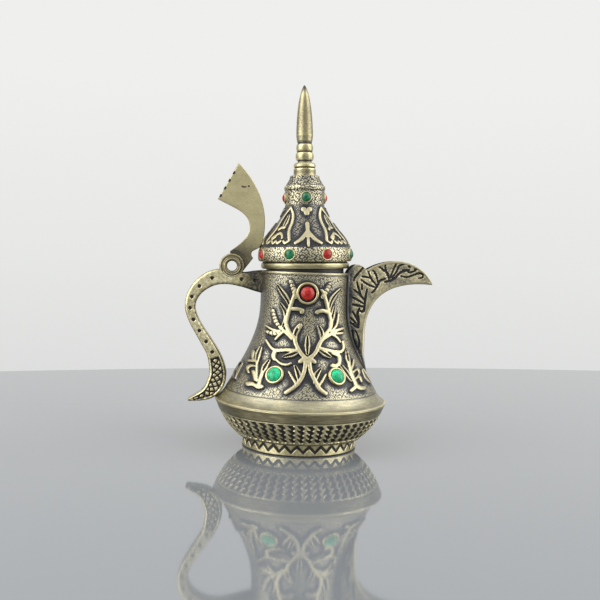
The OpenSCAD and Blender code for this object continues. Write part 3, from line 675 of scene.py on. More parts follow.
def lid_rim(finish):
    """The plain rim under the jewelled band, with the skirt that centres it in the neck."""
    skirt = NECK_R - WALL - 0.5
    outer = offset(RIM_R, LID_Z, (-0.9, -0.5), (-0.2, -0.3), (0.1, 0.3), (0.2, 1.2))
    outer += offset(RIM_R, DOME_Z, (-0.1, -0.7), (-0.7, -0.3), (-0.7, 0))
    inner = [(SPIGOT_R, DOME_Z), (SPIGOT_R, DOME_Z + 1.8), (skirt - 1.3, DOME_Z + 1.8),
             (skirt - 1.3, LID_Z - 2.6), (skirt, LID_Z - 2.6), (skirt, LID_Z - 0.5)]
    lid_piece("rim_turning", "lid_rim", finish, outer, inner, step=0.12, columns=300,
              height=brushed(21, 0.45), edge=1.2)


def jewelled_band(finish):
    """The hammered band that carries the lid's eight stones."""
    bulge = curve(*offset(LID_R, DOME_Z, (-0.2, 0.8), (0.08, 2), (0.08, 4.2)),
                  (LID_R - 0.85, BAND_TOP), n=12)
    outer = joined(offset(LID_R, DOME_Z, (-0.9, 0), (-0.35, 0.25)), bulge)
    inner = [(LID_R - 1.9, BAND_TOP), (LID_R - 1.5, DOME_Z + 1.6)]
    inner += offset(SPIGOT_R, DOME_Z, (0.02, 1.2), (0.02, 0))
    lid_piece("band_casting", "lid_dome", finish, outer, inner, step=0.16, columns=760,
              height=hammered(31))


def dome_and_collar(finish):
    """The dome with its leaf work, the collar that carries four stones, and the crown."""
    swell = curve(*offset(LID_R, BAND_TOP, (-0.85, 0), (-1.7, 2), (-3.7, 4.6), (-5.9, 7.4)), n=12)
    sweep = curve((LID_R - 6, BAND_TOP + 7.5),
                  *offset(COLLAR_R, BAND_TOP, (1.5, 13.2), (0.3, 15.5)),
                  (COLLAR_R - 0.1, RING_Z - 6.4), n=12)
    inner = [(COLLAR_R - 1.4, RING_Z - 6.4), (COLLAR_R - 1.4, BAND_TOP + 15)]
    inner += offset(LID_R, BAND_TOP, (-10, 9.2), (-7.8, 6.2), (-1.9, 0))
    lid_piece("dome_casting", "lid_dome", finish, joined(swell, sweep[1:]), inner, step=0.22,
              columns=640, height=dome_height)
    outer = offset(COLLAR_R, RING_Z, (-0.1, -6.4), (0, -0.3), (0.3, 0), (0.38, 0.9), (0.2, 1.5),
                   (-0.2, 1.8))
    inner = offset(COLLAR_R, RING_Z, (-2.8, 1.8), (-1.4, 1), (-1.4, -6.4))
    lid_piece("collar_casting", "lid_dome", finish, outer, inner, step=0.16, columns=380,
              height=hammered(41, 0.16, 0.07))
    outer = [(COLLAR_R - 0.2, RING_Z + 1.8)]
    outer += offset(0, FINIAL_Z, (7.2, -2.4), (6.55, -1.4), (6.3, -0.2), (6.1, 0))
    inner = [(STUD_R, FINIAL_Z), (STUD_R, RING_Z + 3)]
    inner += offset(COLLAR_R, RING_Z, (-2.8, 3), (-2.8, 1.8))
    lid_piece("crown_casting", "lid_dome", finish, outer, inner, step=0.16, columns=340,
              height=hammered(51, 0.12))


def bead(r, middle):
    """Outline of a round ring turned on the spire."""
    return [(r + 0.5 * math.cos(a), middle + 1.65 * math.sin(a))
            for a in np.radians(range(-85, 86, 10))]


def finial(finish):
    """The turned foot, and the spire with its two rings, screwed on over a hidden stud."""
    outer = offset(FINIAL_R, FINIAL_Z, (-0.1, 0), (0, 0.15), (0, 3.0), (-0.6, 3.3), (0, 3.8),
                   (0.05, 4.6), (-0.5, 5.4), (-1.2, 5.6))
    lid_piece("finial_foot", "finial_base", finish, outer, [(STUD_R, SPIRE_Z), (STUD_R, FINIAL_Z)],
              step=0.09, columns=200, height=brushed(61, 0.45), edge=2.2)
    point = curve((SPIRE_R, SPIRE_Z + 11.5), (SPIRE_R - 0.1, SPIRE_Z + 18),
                  (SPIRE_R * 0.82, SPIRE_Z + 28), (0.35, SPIRE_TOP - 0.25), n=16)
    outer = joined(offset(SPIRE_R, SPIRE_Z, (-0.6, 0), (-0.6, 0.9)),
                   bead(SPIRE_R - 0.22, SPIRE_Z + 2.65), bead(SPIRE_R - 0.5, SPIRE_Z + 6.25),
                   offset(SPIRE_R, SPIRE_Z, (-0.6, 8.3), (-0.25, 9.5)), point,
                   (0.004, SPIRE_TOP - 0.05))
    inner = [(0.004, SPIRE_Z + 10.2), (STUD_R, SPIRE_Z + 10.2), (STUD_R, SPIRE_Z)]
    lid_piece("spire_turning", "finial_spire", finish, outer, inner, step=0.14, columns=160,
              height=brushed(71, 0.46, tip=SPIRE_TOP), edge=2.2)


# ---- Spout ----

# Engraved leaves on the sides of the spout, in squares of about 0.43 mm: u towards the beak
# and v up, from the corner where the spout's upper line meets the neck
SPOUT_CUTS = [
    # fan beside the neck
    ("hub", [(13, -9), (12, -15), (11, -23), (10, -30), (8, -31), (5, -29)]),
    ("hub", [(9, -26), (4, -25), (-1, -24)]),
    ("cut", [(10, -23), (3, -19), (-1, -17)]),
    ("cut", [(11, -20), (6, -14), (0, -9)]),
    ("cut", [(7, -14), (4, -6), (3, -1)]),
    ("cut", [(8, -9), (8, -4)]),
    # spray in the bend
    ("hub", [(18, -12), (21, -9), (24, -4), (26, 0), (31, 2)]),
    ("cut", [(22, -7), (14, -4), (7, 1)]),
    ("cut", [(22, -4), (17, 2), (14, 10)]),
    ("cut", [(24, -2), (22, 6), (19, 10)]),
    ("cut", [(8, 4), (15, 3)]),
    # spray along the beak
    ("hub", [(31, -1), (36, 0), (41, 3), (46, 8), (50, 10), (55, 11)]),
    ("cut", [(35, 1), (34, 7), (29, 11), (24, 15)]),
    ("cut", [(35, 2), (32, 10), (31, 17)]),
    ("cut", [(36, 3), (39, 10), (42, 17)]),
    ("cut", [(38, 3), (43, 10), (45, 15), (50, 17)]),
    ("cut", [(47, 5), (53, 4), (59, 6), (65, 8), (69, 7), (69, 4), (65, 3)]),
    ("cut", [(49, 11), (54, 11), (55, 9), (60, 10), (64, 13)]),
    ("hub", [(55, 15), (56, 14)]),
    ("hub", [(61, 12), (62, 11)]),
    ("cut", [(0, 0), (1, 3), (5, 8), (10, 14)]),
    # fan down the foot
    ("hub", [(6, -28), (4, -33), (5, -39), (5, -47)]),
    ("cut", [(-1, -31), (2, -36), (5, -42)]),
    ("cut", [(-3, -37), (1, -41), (5, -46)]),
    ("cut", [(-3, -42), (0, -44), (4, -47)]),
    ("cut", [(-1, -50), (0, -57), (2, -64), (4, -68), (5, -67), (6, -61), (4, -54), (2, -50)]),
]
SPOUT_CORNER_X, SPOUT_CORNER_Z = 20.8, 72.3
SPOUT_WALL = 1.4
ENGRAVED = 0.5                   # depth of the cuts
SUNK_FIELD = 0.16                # depth of the field inside the spout's border


def spout_lines(count):
    """Under side and upper side of the spout, from its foot on the belly to the tip."""
    drop = 25.3                  # from the neck's top to the throat
    throat = np.array([NECK_R + 7.8, NECK_TOP - drop])
    tip = np.array([NECK_R + 37.3, NECK_TOP - 4])
    notch = np.array([NECK_R + 7.6, NECK_TOP + 1.7])
    foot = curve(throat + [1.4, -17.5], throat + [0.8, -14], throat + [0, -12], throat + [0, -8])
    bend = curve(throat, throat + [0.1, 0.81 * drop], tip + [-12, 1], tip, n=30)
    under = joined(foot, throat + [0, -4], bend)
    heights = np.linspace(NECK_TOP - 42.8, NECK_TOP - 1, 40)
    on_body = np.stack([belly_r(heights) - 0.7, heights], 1)
    crest = curve((NECK_R - 0.7, NECK_TOP + 0.2), (NECK_R + 1.4, NECK_TOP + 4.6),
                  (NECK_R + 4.4, NECK_TOP + 5), notch, n=12)
    beak = curve(notch, notch + [9.7, 6.5], tip + [-6, 11.7], tip, n=30)
    upper = joined(on_body, crest, beak)
    # shares of the two lines that lie across from each other
    under_at = (0, 0.29, 0.55, 0.66, 1.0)
    upper_at = (0, 0.25, 0.52, 0.60, 1.0)
    fine = 2000
    lines = []
    for line, at in ((under, under_at), (upper, upper_at)):
        share = np.interp(np.linspace(0, 1, count), under_at, at)
        lines.append(dense(line, count=fine)[(share * fine).astype(int)])
    return lines


def spout_squares(x, z):
    """Place on the drawing of the spout's side, which leans a little."""
    right, up = x - SPOUT_CORNER_X, z - SPOUT_CORNER_Z
    return (right + 0.0256 * up) / 0.44, (up - 0.0182 * right) / 0.43


def spout_casting(finish):
    """An open channel whose sides are engraved with leaves inside a plain border."""
    under, upper = spout_lines(250)
    tall = np.linalg.norm(upper - under, axis=1)
    keep = tall > 0.5
    under, upper, tall = under[keep], upper[keep], tall[keep]
    across = (upper - under) / tall[:, None]
    farther = np.maximum(under[:, 0], upper[:, 0])
    half = np.interp(farther, [NECK_R + 10.6, NECK_R + 38.3], [SPOUT_HALF - 0.02, 2.2])
    corner = np.minimum(1.2, 0.3 * tall)
    wall = np.minimum(SPOUT_WALL, 0.4 * tall)
    h, w, c, t = (a[:, None] for a in (half, wall, corner, tall))
    n_side, n_round = 100, 7
    level = np.linspace(0, 1, n_side)[None, :]
    quarter = np.radians(np.linspace(0, 90, n_round))[None, :]
    floor = np.linspace(-1, 1, 13)[None, 1:-1]
    down = np.linspace(0, 1, 12)[None, :]
    # one wall from the floor's corner up and down again inside: distance from the under
    # side, and distance from the middle
    rise = np.hstack([c * (1 - np.cos(quarter)), c + (t - c - 0.3) * level,
                      t - 0.3 + 0.3 * np.sin(quarter), t - 0.05 - (t - w - 0.4) * down])
    wide = np.hstack([h - c + c * np.sin(quarter), h + 0 * level,
                      h - 0.3 * (1 - np.cos(quarter)), h - w + 0 * down])
    out = np.hstack([rise, w + 0 * floor * t, rise[:, ::-1], 0 * floor * t])
    y = np.hstack([-wide, (h - w) * floor, wide[:, ::-1], (c - h) * floor])
    x = under[:, :1] + across[:, :1] * out
    z = under[:, 1:] + across[:, 1:] * out
    u, v = spout_squares(x, z)
    field = smooth_step(np.minimum(out, t - out), 0.9, 1.3)
    rub = 0.62 + 0.1 * speckle(x, z, 0.5, 17) + 0.1 * speckle(x, z, 3.0, 18)
    cut = np.zeros_like(x)
    wear = np.full_like(x, 0.7)
    last = x.shape[1] - floor.shape[1] - n_round
    for side in (slice(n_round, n_round + n_side), slice(last - n_side, last)):
        ink = worked(u[:, side], v[:, side], SPOUT_CUTS) * field[:, side]
        burr = blurred(ink, 3, 2, False)
        cut[:, side] = -ENGRAVED * ink - SUNK_FIELD * field[:, side]
        wear[:, side] += (rub[:, side] - 0.7 + 0.4 * burr) * field[:, side]
        wear[:, side] *= 1 - ink
    # Darker in a strip beside the neck: patina, and painted shade in the gap between the spout and
    # the neck
    wear -= 0.35 * (1 - smooth_step(x - belly_r(z), 0.8, 2.6))
    inside = slice(2 * n_round + n_side, last - n_side - n_round)
    wear[:, inside] = 0.12
    y = y + np.where(y > 0, cut, -cut)
    add_piece("spout_casting", skin(x, y, z, capped=True), wear, finish, "pot", ["spout"],
              merge=0.004)


# ---- Handle and hinge ----

# Middle line of the handle: x, z and half width, from the neck round the bend to the tip of
# the tail
HANDLE_REACH = 29.9
HANDLE_PATH = [(-NECK_R - HANDLE_REACH * a, NECK_TOP + b, w) for a, b, w in (
    (-0.12, -5, 5.4), (0.087, -4.6, 4.4), (0.281, -4.2, 3.15), (0.492, -3.2, 3.3),
    (0.699, -4.1, 3.3), (0.876, -7.7, 2.9), (0.977, -12.3, 2.45), (1, -17.1, 2.15),
    (0.946, -22, 2.1), (0.856, -26.7, 2.15), (0.756, -31.3, 2.4))] + [
    (-RIDGE_R - a, RIDGE_Z + b, w) for a, b, w in (
        (1.7, 19.6, 2.6), (-0.1, 14.8, 3.25), (-0.9, 10.2, 3.65), (0, 6.2, 3.75),
        (2.4, 2.6, 3.1), (6.3, 0.4, 1.9), (11.4, -1.2, 0.4))]
DIMPLES = [HANDLE_PATH[i][:2] for i in (1, 2, 4, 5, 6, 7, 8, 9, 10, 11)]
DIMPLE_R = 0.75
PUNCHED = 0.42                   # depth of the dimples and of the cross hatching
BOSS_R = 5.3                     # the handle's ears round the hinge
SLOT_R, SLOT_HALF = 7.3, 1.6     # room for the lid's knuckle between the ears
STRAP_HALF = HANDLE_T / 2 - 0.02


def cross_hatch(along, across):
    """Raised diamonds, 2.6 mm long and 3 mm wide, between two sets of slanting cuts."""
    a = np.abs((along / 2.6 + across / 3.0) % 1 - 0.5) * 2
    b = np.abs((along / 2.6 - across / 3.0) % 1 - 0.5) * 2
    return smooth_step(1 - np.maximum(a, b), 0.16, 0.46)


def strap_section(w):
    """One ring of places round the strap for each half width: how far out from its middle
    line, and how far to the side."""
    half = STRAP_HALF
    c = np.minimum(1.2, 0.5 * w)
    level = np.linspace(-1, 1, 40)[None, :]
    quarter = np.radians(np.linspace(0, 90, 7))[None, 1:-1]
    slot = SLOT_HALF / (half - 1.2)
    spine = np.array([-1, -0.93, -0.86, -slot, 0.01 - slot, -0.4, -0.2, 0,
                      0.2, 0.4, slot - 0.01, slot, 0.86, 0.93, 1])[None, :]
    out = np.hstack([(w - c) * level, w - c + c * np.sin(quarter), w + 0 * spine,
                     w - c + c * np.cos(quarter)])
    y = np.hstack([-half + 0 * w * level, -half + c * (1 - np.cos(quarter)), spine * (half - c),
                   half - c * (1 - np.sin(quarter))])
    return np.hstack([out, -out]), np.hstack([y, -y])


def with_knuckle_room(x, y, z, out):
    """Heights of the strap's points once the slot for the lid's knuckle is cut down into it."""
    from_hinge = np.hypot(x - HINGE_X, z - HINGE_Z)
    bore = np.sqrt(np.maximum(2.45 ** 2 - (x - HINGE_X) ** 2, 0))
    reach = np.where(z > HINGE_Z - 3, SLOT_R, BOSS_R)
    over_bore = (out > 0) & (from_hinge < 3)
    z = np.where(over_bore, np.minimum(z, HINGE_Z - bore), z)
    in_slot = (np.abs(y) < SLOT_HALF - 0.005) & (out > 0) & (from_hinge < reach + 0.01)
    deep = np.where(in_slot, np.sqrt(np.maximum(reach ** 2 - (x - HINGE_X) ** 2, 0)), 0)
    return np.where(in_slot, np.minimum(z, HINGE_Z - deep), z)


def handle_strap(finish):
    """The strap handle: dimpled along its sides, cross hatched down its tail."""
    path = dense(spline(HANDLE_PATH, 8), step=0.25)
    path = path[path[:, 0] < -NECK_R + 0.8]
    run = distance_along(path)
    outward = normals_2d(path)
    w = path[:, 2:3]
    out, y = strap_section(w)
    x = path[:, :1] + outward[:, :1] * out
    z = path[:, 1:2] + outward[:, 1:] * out
    s = np.repeat(run[:, None], out.shape[1], 1)
    on_side = np.abs(np.abs(y) - STRAP_HALF) < 0.01
    # tail: diamonds between two plain rims, below a cut line
    tail_from = run[np.argmax((path[:, 1] < RIDGE_Z + 17) & (run > 30))]
    tail = smooth_step(s, tail_from, tail_from + 0.3)
    tail *= 1 - smooth_step(s, run[-1] - 2.6, run[-1] - 1.8)
    rim = np.minimum(1.15, 0.45 * w)
    field = (1 - smooth_step(np.abs(out), w - rim - 0.15, w - rim + 0.1)) * tail
    border = np.exp(-((np.abs(out) - w + rim + 0.3) / 0.26) ** 2)
    cut = -PUNCHED * on_side * field * np.maximum(1 - cross_hatch(s, out), border)
    cut = cut - 0.35 * on_side * np.exp(-((s - tail_from) / 0.35) ** 2)
    for dimple_x, dimple_z in DIMPLES:
        away = np.hypot(x - dimple_x, z - dimple_z)
        dimple = 1 - smooth_step(away, DIMPLE_R * 0.75, DIMPLE_R * 1.3)
        cut = np.minimum(cut, -PUNCHED * on_side * dimple)
    y = y + np.where(y > 0, cut, -cut)
    # small nicks across the outer spine, below the bend
    on_spine = (out > w - 0.02) & (s > 26) & (s < run[-1] - 6)
    nick = np.clip(1 - np.abs((s / 1.9) % 1 - 0.5) / 0.16, 0, 1) * on_spine * 0.3
    x = x - outward[:, :1] * nick
    z = with_knuckle_room(x, y, z - outward[:, 1:] * nick, out)
    hollow = np.clip(-cut / 0.36 + nick / 0.3, 0, 1)
    by_neck = 1 - smooth_step(-NECK_R - x, 4, 14)
    wear = 0.85 + 0.05 * speckle(s, out + y, 5.0, 19) + 0.13 * speckle(s, out + y, 0.55, 20)
    # Darker towards the strap's rounded edges: painted shade
    wear -= 0.26 * smooth_step(np.abs(out), w - 0.9, w - 0.3)
    wear = (wear - 0.55 * by_neck) * (1 - hollow)
    add_piece("strap_handle", skin(x, y, z, capped=True), wear, finish, "pot", ["handle"],
              merge=0.004)


def across_hinge(side):
    """Turns a piece's axis onto the hinge, with its top to the given side."""
    def place(p):
        return np.stack([HINGE_X + p[:, 0], side * p[:, 2], HINGE_Z + p[:, 1]], -1)
    return place


def hinge_pieces(finish):
    """Two ears on the handle, and the hollow rivet that the lid turns on."""
    half, hole_r = HANDLE_T / 2, 2.62
    ear = offset(0, half, (hole_r, -0.1), (4.4, -0.08), (4.55, 0))
    ear += offset(BOSS_R, half, (-0.5, 0), (-0.15, -0.14), (0, -0.5)) + [(BOSS_R, SLOT_HALF)]
    for name, side in (("hinge_ear_front", -1), ("hinge_ear_back", 1)):
        turned(name, dense(ear, step=0.1)[::-1], [(hole_r, half - 0.1), (hole_r, SLOT_HALF)],
               finish, "pot", columns=120, height=brushed(81, 0.34), place=across_hinge(side),
               merge=0.002)
    bore, rim, proud = 2.1, 4.2, 0.9
    middle, roll = (bore + rim) / 2, (rim - bore) / 2
    arc = [(middle + roll * math.cos(a), half + proud * math.sin(a))
           for a in np.radians(range(0, 181, 9))]
    rolled = [(r, z - 0.22 * math.exp(-((r - 3.35) / 0.16) ** 2)) for r, z in arc]
    under = [(r, -z) for r, z in rolled]
    turned("hollow_rivet", dense(joined(under[::-1], rolled), step=0.08)[::-1],
           [(2.6, half), (2.6, -half)], finish, "pot", ["hinge_rivet"], columns=140,
           height=brushed(83, 0.62), edge=1.6, place=across_hinge(1), merge=0.002)


# ---- Thumb lever ----

LEVER_H = 43.7
LEVER_TIP = np.array([LEVER_H * 0.073, LEVER_H])
LEVER_CORNER = np.array([-5.8, LEVER_H - 15.2])
LEVER_HALF = LEVER_T / 2 - 0.01
KNUCKLE_HALF = 1.5
BLADE_R = BOSS_R + 1.7           # the blade is cut back to its thin knuckle inside this


def lever_outline():
    """Side outline of the thumb lever from the hinge's centre, with the lid level."""
    tip, corner, waist = LEVER_TIP, LEVER_CORNER, np.array([7.6, 16.5])
    reach = -HINGE_X - LID_R
    root = np.array([reach + 1.7, 9.0])
    notch = [(reach - 0.9 + 1.9 * math.cos(a), 4.9 + 1.9 * math.sin(a))
             for a in np.radians(range(-125, -226, -20))]
    return joined(curve(corner, corner + [6, -3.5], waist + [0.4, 6.5], waist, n=24),
                  curve(waist, waist + [0, -4], (4.2, 9.8), (-0.8, BLADE_R - 0.8), n=12)[1:],
                  (0, 0), (BOSS_R - 0.3, -1.9), (reach - 2.4, 2.8), notch, (reach + 0.5, 7.6),
                  curve(root, root + [2.4, 8.5], root + [3.2, 21], tip, n=30))


def prism(name, outline, half, bevel=0.0):
    """A plate in the XZ plane, with its edges softened by bevel mm."""
    solid = bmesh.new()
    low = [solid.verts.new((x * MM, -half * MM, z * MM)) for x, z in outline]
    high = [solid.verts.new((x * MM, half * MM, z * MM)) for x, z in outline]
    solid.faces.new(low)
    solid.faces.new(high[::-1])
    for i in range(len(low)):
        j = (i + 1) % len(low)
        solid.faces.new((low[j], low[i], high[i], high[j]))
    bmesh.ops.recalc_face_normals(solid, faces=solid.faces)
    if bevel:
        rim = [e for e in solid.edges if abs(e.verts[0].co.y - e.verts[1].co.y) < 1e-9]
        bmesh.ops.bevel(solid, geom=rim, offset=bevel * MM, segments=3, affect="EDGES",
                        profile=0.6, clamp_overlap=True)
    mesh = bpy.data.meshes.new(name)
    solid.to_mesh(mesh)
    solid.free()
    return bpy.data.objects.new(name, mesh)


def round_outline(r):
    angles = np.linspace(0, 2 * math.pi, 64, endpoint=False)
    return [(r * math.cos(a), r * math.sin(a)) for a in angles]


def combined(target, tools, operation):
    """Boolean work on a mesh, done once and kept."""
    for tool in tools:
        bpy.context.scene.collection.objects.link(tool)
        step = target.modifiers.new("cut", "BOOLEAN")
        step.operation = operation
        step.solver = "EXACT"
        step.object = tool
        step.material_mode = "TRANSFER"
    mesh = bpy.data.meshes.new_from_object(
        target.evaluated_get(bpy.context.evaluated_depsgraph_get()))
    target.modifiers.clear()
    target.data = mesh
    for tool in tools:
        bpy.data.objects.remove(tool)


def moved(piece, x, y, z):
    piece.data.transform(Matrix.Translation((x * MM, y * MM, z * MM)))
    return piece


def dish(x, y, z, r, deep):
    """A shallow round cutter for a punched mark."""
    cutter = bmesh.new()
    bmesh.ops.create_uvsphere(cutter, u_segments=24, v_segments=12, radius=r * MM)
    mesh = bpy.data.meshes.new("dish")
    cutter.to_mesh(mesh)
    cutter.free()
    mesh.transform(Matrix.Diagonal((1, deep / r, 1, 1)))
    return moved(bpy.data.objects.new("dish", mesh), x, y, z)


def lever_marks(blackened):
    """Cutters for both sides of the lever: four dimples by its upper edge, and a bracket and
    a dot that are engraved under its tip."""
    along = (LEVER_TIP - LEVER_CORNER) / np.linalg.norm(LEVER_TIP - LEVER_CORNER)
    inset = np.array([along[1], -along[0]]) * 0.4 * DIMPLE_R
    dimples = [LEVER_CORNER + along * (1.7 + 3.75 * i) + inset for i in range(4)]
    bracket = [(4.2, 34.0), (4.5, 33.4), (5.3, 33.1), (6.4, 33.3), (6.5, 33.8), (5.4, 33.7),
               (4.6, 34.1)]
    marks = []
    for y in (-LEVER_HALF, LEVER_HALF):
        marks += [dish(x, y, z, DIMPLE_R, 0.45) for x, z in dimples]
        marks.append(moved(prism("bracket", bracket, 0.2), 0, y, 0))
        marks.append(dish(7.4, y, 33.8, 0.4, 0.25))
    for mark in marks:
        mark.data.materials.append(blackened)
    return marks


def thumb_lever(finish, blackened):
    """A flat blade, thin at its knuckle, with punched dimples and an engraved bracket."""
    lever = prism("lever_blade", lever_outline(), LEVER_HALF, bevel=0.5)
    lever.data.materials.append(finish)
    bpy.context.scene.collection.objects.link(lever)
    beside = [moved(prism("beside", round_outline(BLADE_R), 2), 0, side * (KNUCKLE_HALF + 2), 0)
              for side in (-1, 1)]
    combined(lever, beside, "DIFFERENCE")
    combined(lever, [prism("knuckle", round_outline(BOSS_R - 0.3), KNUCKLE_HALF - 0.01)], "UNION")
    combined(lever, [prism("bore", round_outline(2.65), 4)] + lever_marks(blackened), "DIFFERENCE")
    tilt = Matrix.Rotation(-math.radians(LID_AJAR), 4, "Y")
    lever.data.transform(Matrix.Translation(HINGE) @ tilt)
    tie(lever, "lid", ["lid_lever"], crease=30)


# ---- Stones and their rings ----

def facing(angle, r, z, tilt=0.0, sunk=0.0, then=as_drawn):
    """Stands a piece on the outside at an angle round the axis, tilted up and sunk in."""
    about = Matrix.Rotation(math.radians(angle - 90), 3, "Z")
    turn = np.array(about @ Matrix.Rotation(math.radians(90 - tilt), 3, "Y"))
    base = np.array(about @ Vector((r, 0, z)))

    def place(points):
        return then((points - [0, 0, sunk]) @ turn.T + base)
    return place


def cabochon(name, r, girdle, dome, glass, slot, body, place):
    """A round stone, straight to the height of its girdle and domed above it."""
    ball = (r * r + dome * dome) / (2 * dome)
    top = [(ball * math.sin(a), girdle + dome - ball + ball * math.cos(a))
           for a in np.linspace(math.asin(r / ball), 0.0005, 14)]
    outer = joined((r - 0.02, 0), (r, 0.05), (r, girdle - 0.05), top)
    turned("glass_" + name, outer, [(0.002, 0)], glass, body, [name], columns=48, place=place,
           slot=slot, merge=0.01, crease=50)


def bezel(name, low, r, wide, proud, finish, body, place):
    """A rolled ring round a stone of radius r, so wide and standing so far proud."""
    roll = [(r + wide / 2 + wide / 2 * math.cos(a), proud * 0.45 + proud * 0.55 * math.sin(a))
            for a in np.radians(range(0, 181, 15))]
    ring = joined((r + wide + 0.12, low), (r + wide + 0.08, proud * 0.35), roll)
    turned("ring_" + name, dense(ring, step=0.07), [(r, low)], finish, body, columns=72,
           height=brushed(91, 0.68), edge=1.0, place=place)


def body_stones(red, green, ring_finish):
    """A red stone on each side of the neck, and two green ones under it on the belly."""
    r = float(belly_r(BELLY_STONE_Z))
    fall = float(belly_r(BELLY_STONE_Z - 0.7) - belly_r(BELLY_STONE_Z + 0.7))
    slope = math.degrees(math.atan2(fall, 1.4))
    stones = [("neck_stone_front", 0, NECK_R, NECK_STONE_Z, 0, red, "red_glass", 3.5),
              ("neck_stone_back", 180, NECK_R, NECK_STONE_Z, 0, red, "red_glass", 3.5)]
    at = BELLY_STONE_ANGLE
    stones += [("belly_stone_%d" % (k + 1), angle, r, BELLY_STONE_Z, slope,
                green, "green_glass", 2.85)
               for k, angle in enumerate((-at, at, 180 - at, 180 + at))]
    for name, angle, out, z, tilt, glass, slot, ring_r in stones:
        cabochon(name, 2.8, 1.2, 1.3, glass, slot, "pot", facing(angle, out, z, tilt, sunk=0.2))
        bezel(name, -0.9, ring_r, 1.15, 1.0, ring_finish, "pot", facing(angle, out, z, tilt))


def lid_stones(red, green, ring_finish):
    """Eight stones round the band and four round the collar, red and green in turn."""
    stones = [("band_stone_%d" % (k + 1), 22.5 + 45 * k, LID_R, DOME_Z + 2.95, 2.0, k % 2)
              for k in range(8)]
    stones += [("collar_stone_%d" % (k + 1), 90 * k, COLLAR_R, RING_Z - 3.4, 1.9, 1 - k % 2)
               for k in range(4)]
    for name, angle, out, z, r, is_green in stones:
        glass, slot = (green, "green_glass") if is_green else (red, "red_glass")
        cabochon(name, r, 0.9, 0.95, glass, slot, "lid",
                 facing(angle, out, z, sunk=0.6, then=on_lid))
        bezel(name, -0.6, r + 0.02, 0.45, 0.35, ring_finish, "lid",
              facing(angle, out, z, then=on_lid))


# ---- Materials ----

def linear(hex_colour):
    """An sRGB hex colour as the linear colour that a shader takes."""
    parts = [int(hex_colour[i:i + 2], 16) / 255 for i in (1, 3, 5)]
    return [c / 12.92 if c <= 0.04045 else ((c + 0.055) / 1.055) ** 2.4 for c in parts] + [1.0]


def add(tree, kind, inputs=None, stops=(), **settings):
    """Adds a node with its settings and links. An input is a value or another node's output,
    and stops are the places and hex colours of a colour ramp."""
    node = tree.nodes.new(kind)
    for key, value in settings.items():
        setattr(node, key, value)
    for key, value in (inputs or {}).items():
        if isinstance(value, bpy.types.NodeSocket):
            tree.links.new(value, node.inputs[key])
        else:
            node.inputs[key].default_value = value
    for _ in stops[2:]:
        node.color_ramp.elements.new(0.5)
    for number, (at, colour) in enumerate(stops):
        node.color_ramp.elements[number].position = at
        node.color_ramp.elements[number].color = linear(colour)
    return node


def new_material(name):
    """An empty material: its nodes, its shader, and places on the piece in metres."""
    material = bpy.data.materials.new(name)
    material.use_nodes = True
    tree = material.node_tree
    tree.nodes.clear()
    shader = add(tree, "ShaderNodeBsdfPrincipled")
    add(tree, "ShaderNodeOutputMaterial", {"Surface": shader.outputs["BSDF"]})
    place = add(tree, "ShaderNodeTexCoord").outputs["Object"]
    return material, tree, shader, place


def antique_brass(name, tones, pit_mm=0.5, pit_depth=0.03, base=None, grain=(1, 1, 1),
                  mottle=0.08, smoothest=0.34, dark_from=None):
    """Brass that was blackened and rubbed back: dark in every hollow, warm and pale on what is
    touched, with fine pits. It shines softly where it is rubbed, down to the roughness
    smoothest, and is dull where it is dark. Its wear is painted on the piece, or base all over.
    dark_from is a place that the black stays near."""
    material, tree, shader, place = new_material(name)
    drawn = add(tree, "ShaderNodeMapping", {"Vector": place, "Scale": grain}).outputs["Vector"]
    pits = add(tree, "ShaderNodeTexNoise", {"Vector": drawn, "Scale": 1 / (pit_mm * MM),
                                            "Detail": 3, "Roughness": 0.6}).outputs["Fac"]
    cloud = add(tree, "ShaderNodeTexNoise", {"Vector": drawn, "Scale": 1 / (7 * MM),
                                             "Detail": 2}).outputs["Fac"]
    if base is None:
        wear = add(tree, "ShaderNodeAttribute", attribute_name="wear").outputs["Fac"]
    else:
        wear = add(tree, "ShaderNodeValue").outputs["Value"]
        wear.default_value = base
    if dark_from:
        away = add(tree, "ShaderNodeVectorMath", {0: place, 1: dark_from}, operation="DISTANCE")
        black = add(tree, "ShaderNodeMapRange", {
            "Value": away.outputs["Value"], "From Min": 6 * MM, "From Max": 17 * MM,
            "To Min": -0.42, "To Max": 0.0})
        wear = add(tree, "ShaderNodeMath", {0: wear, 1: black.outputs["Result"]}).outputs["Value"]
    speck = add(tree, "ShaderNodeMapRange", {"Value": pits, "From Min": 0.25, "From Max": 0.75,
                                             "To Min": -mottle, "To Max": mottle})
    drift = add(tree, "ShaderNodeMapRange", {"Value": cloud, "From Min": 0.3, "From Max": 0.7,
                                             "To Min": -0.04, "To Max": 0.04})
    wear = add(tree, "ShaderNodeMath", {0: wear, 1: speck.outputs["Result"]}).outputs["Value"]
    wear = add(tree, "ShaderNodeMath", {0: wear, 1: drift.outputs["Result"]},
               use_clamp=True).outputs["Value"]
    colour = add(tree, "ShaderNodeValToRGB", {"Fac": wear}, stops=tones)
    dull = add(tree, "ShaderNodeMapRange", {"Value": wear, "To Min": 0.44, "To Max": smoothest})
    metal = add(tree, "ShaderNodeMapRange", {"Value": wear, "From Max": 0.45, "To Min": 0.25,
                                             "To Max": 1.0})
    bump = add(tree, "ShaderNodeBump", {"Height": pits, "Strength": 0.6,
                                        "Distance": pit_depth * MM})
    tree.links.new(colour.outputs["Color"], shader.inputs["Base Color"])
    tree.links.new(dull.outputs["Result"], shader.inputs["Roughness"])
    tree.links.new(metal.outputs["Result"], shader.inputs["Metallic"])
    tree.links.new(bump.outputs["Normal"], shader.inputs["Normal"])
    return material


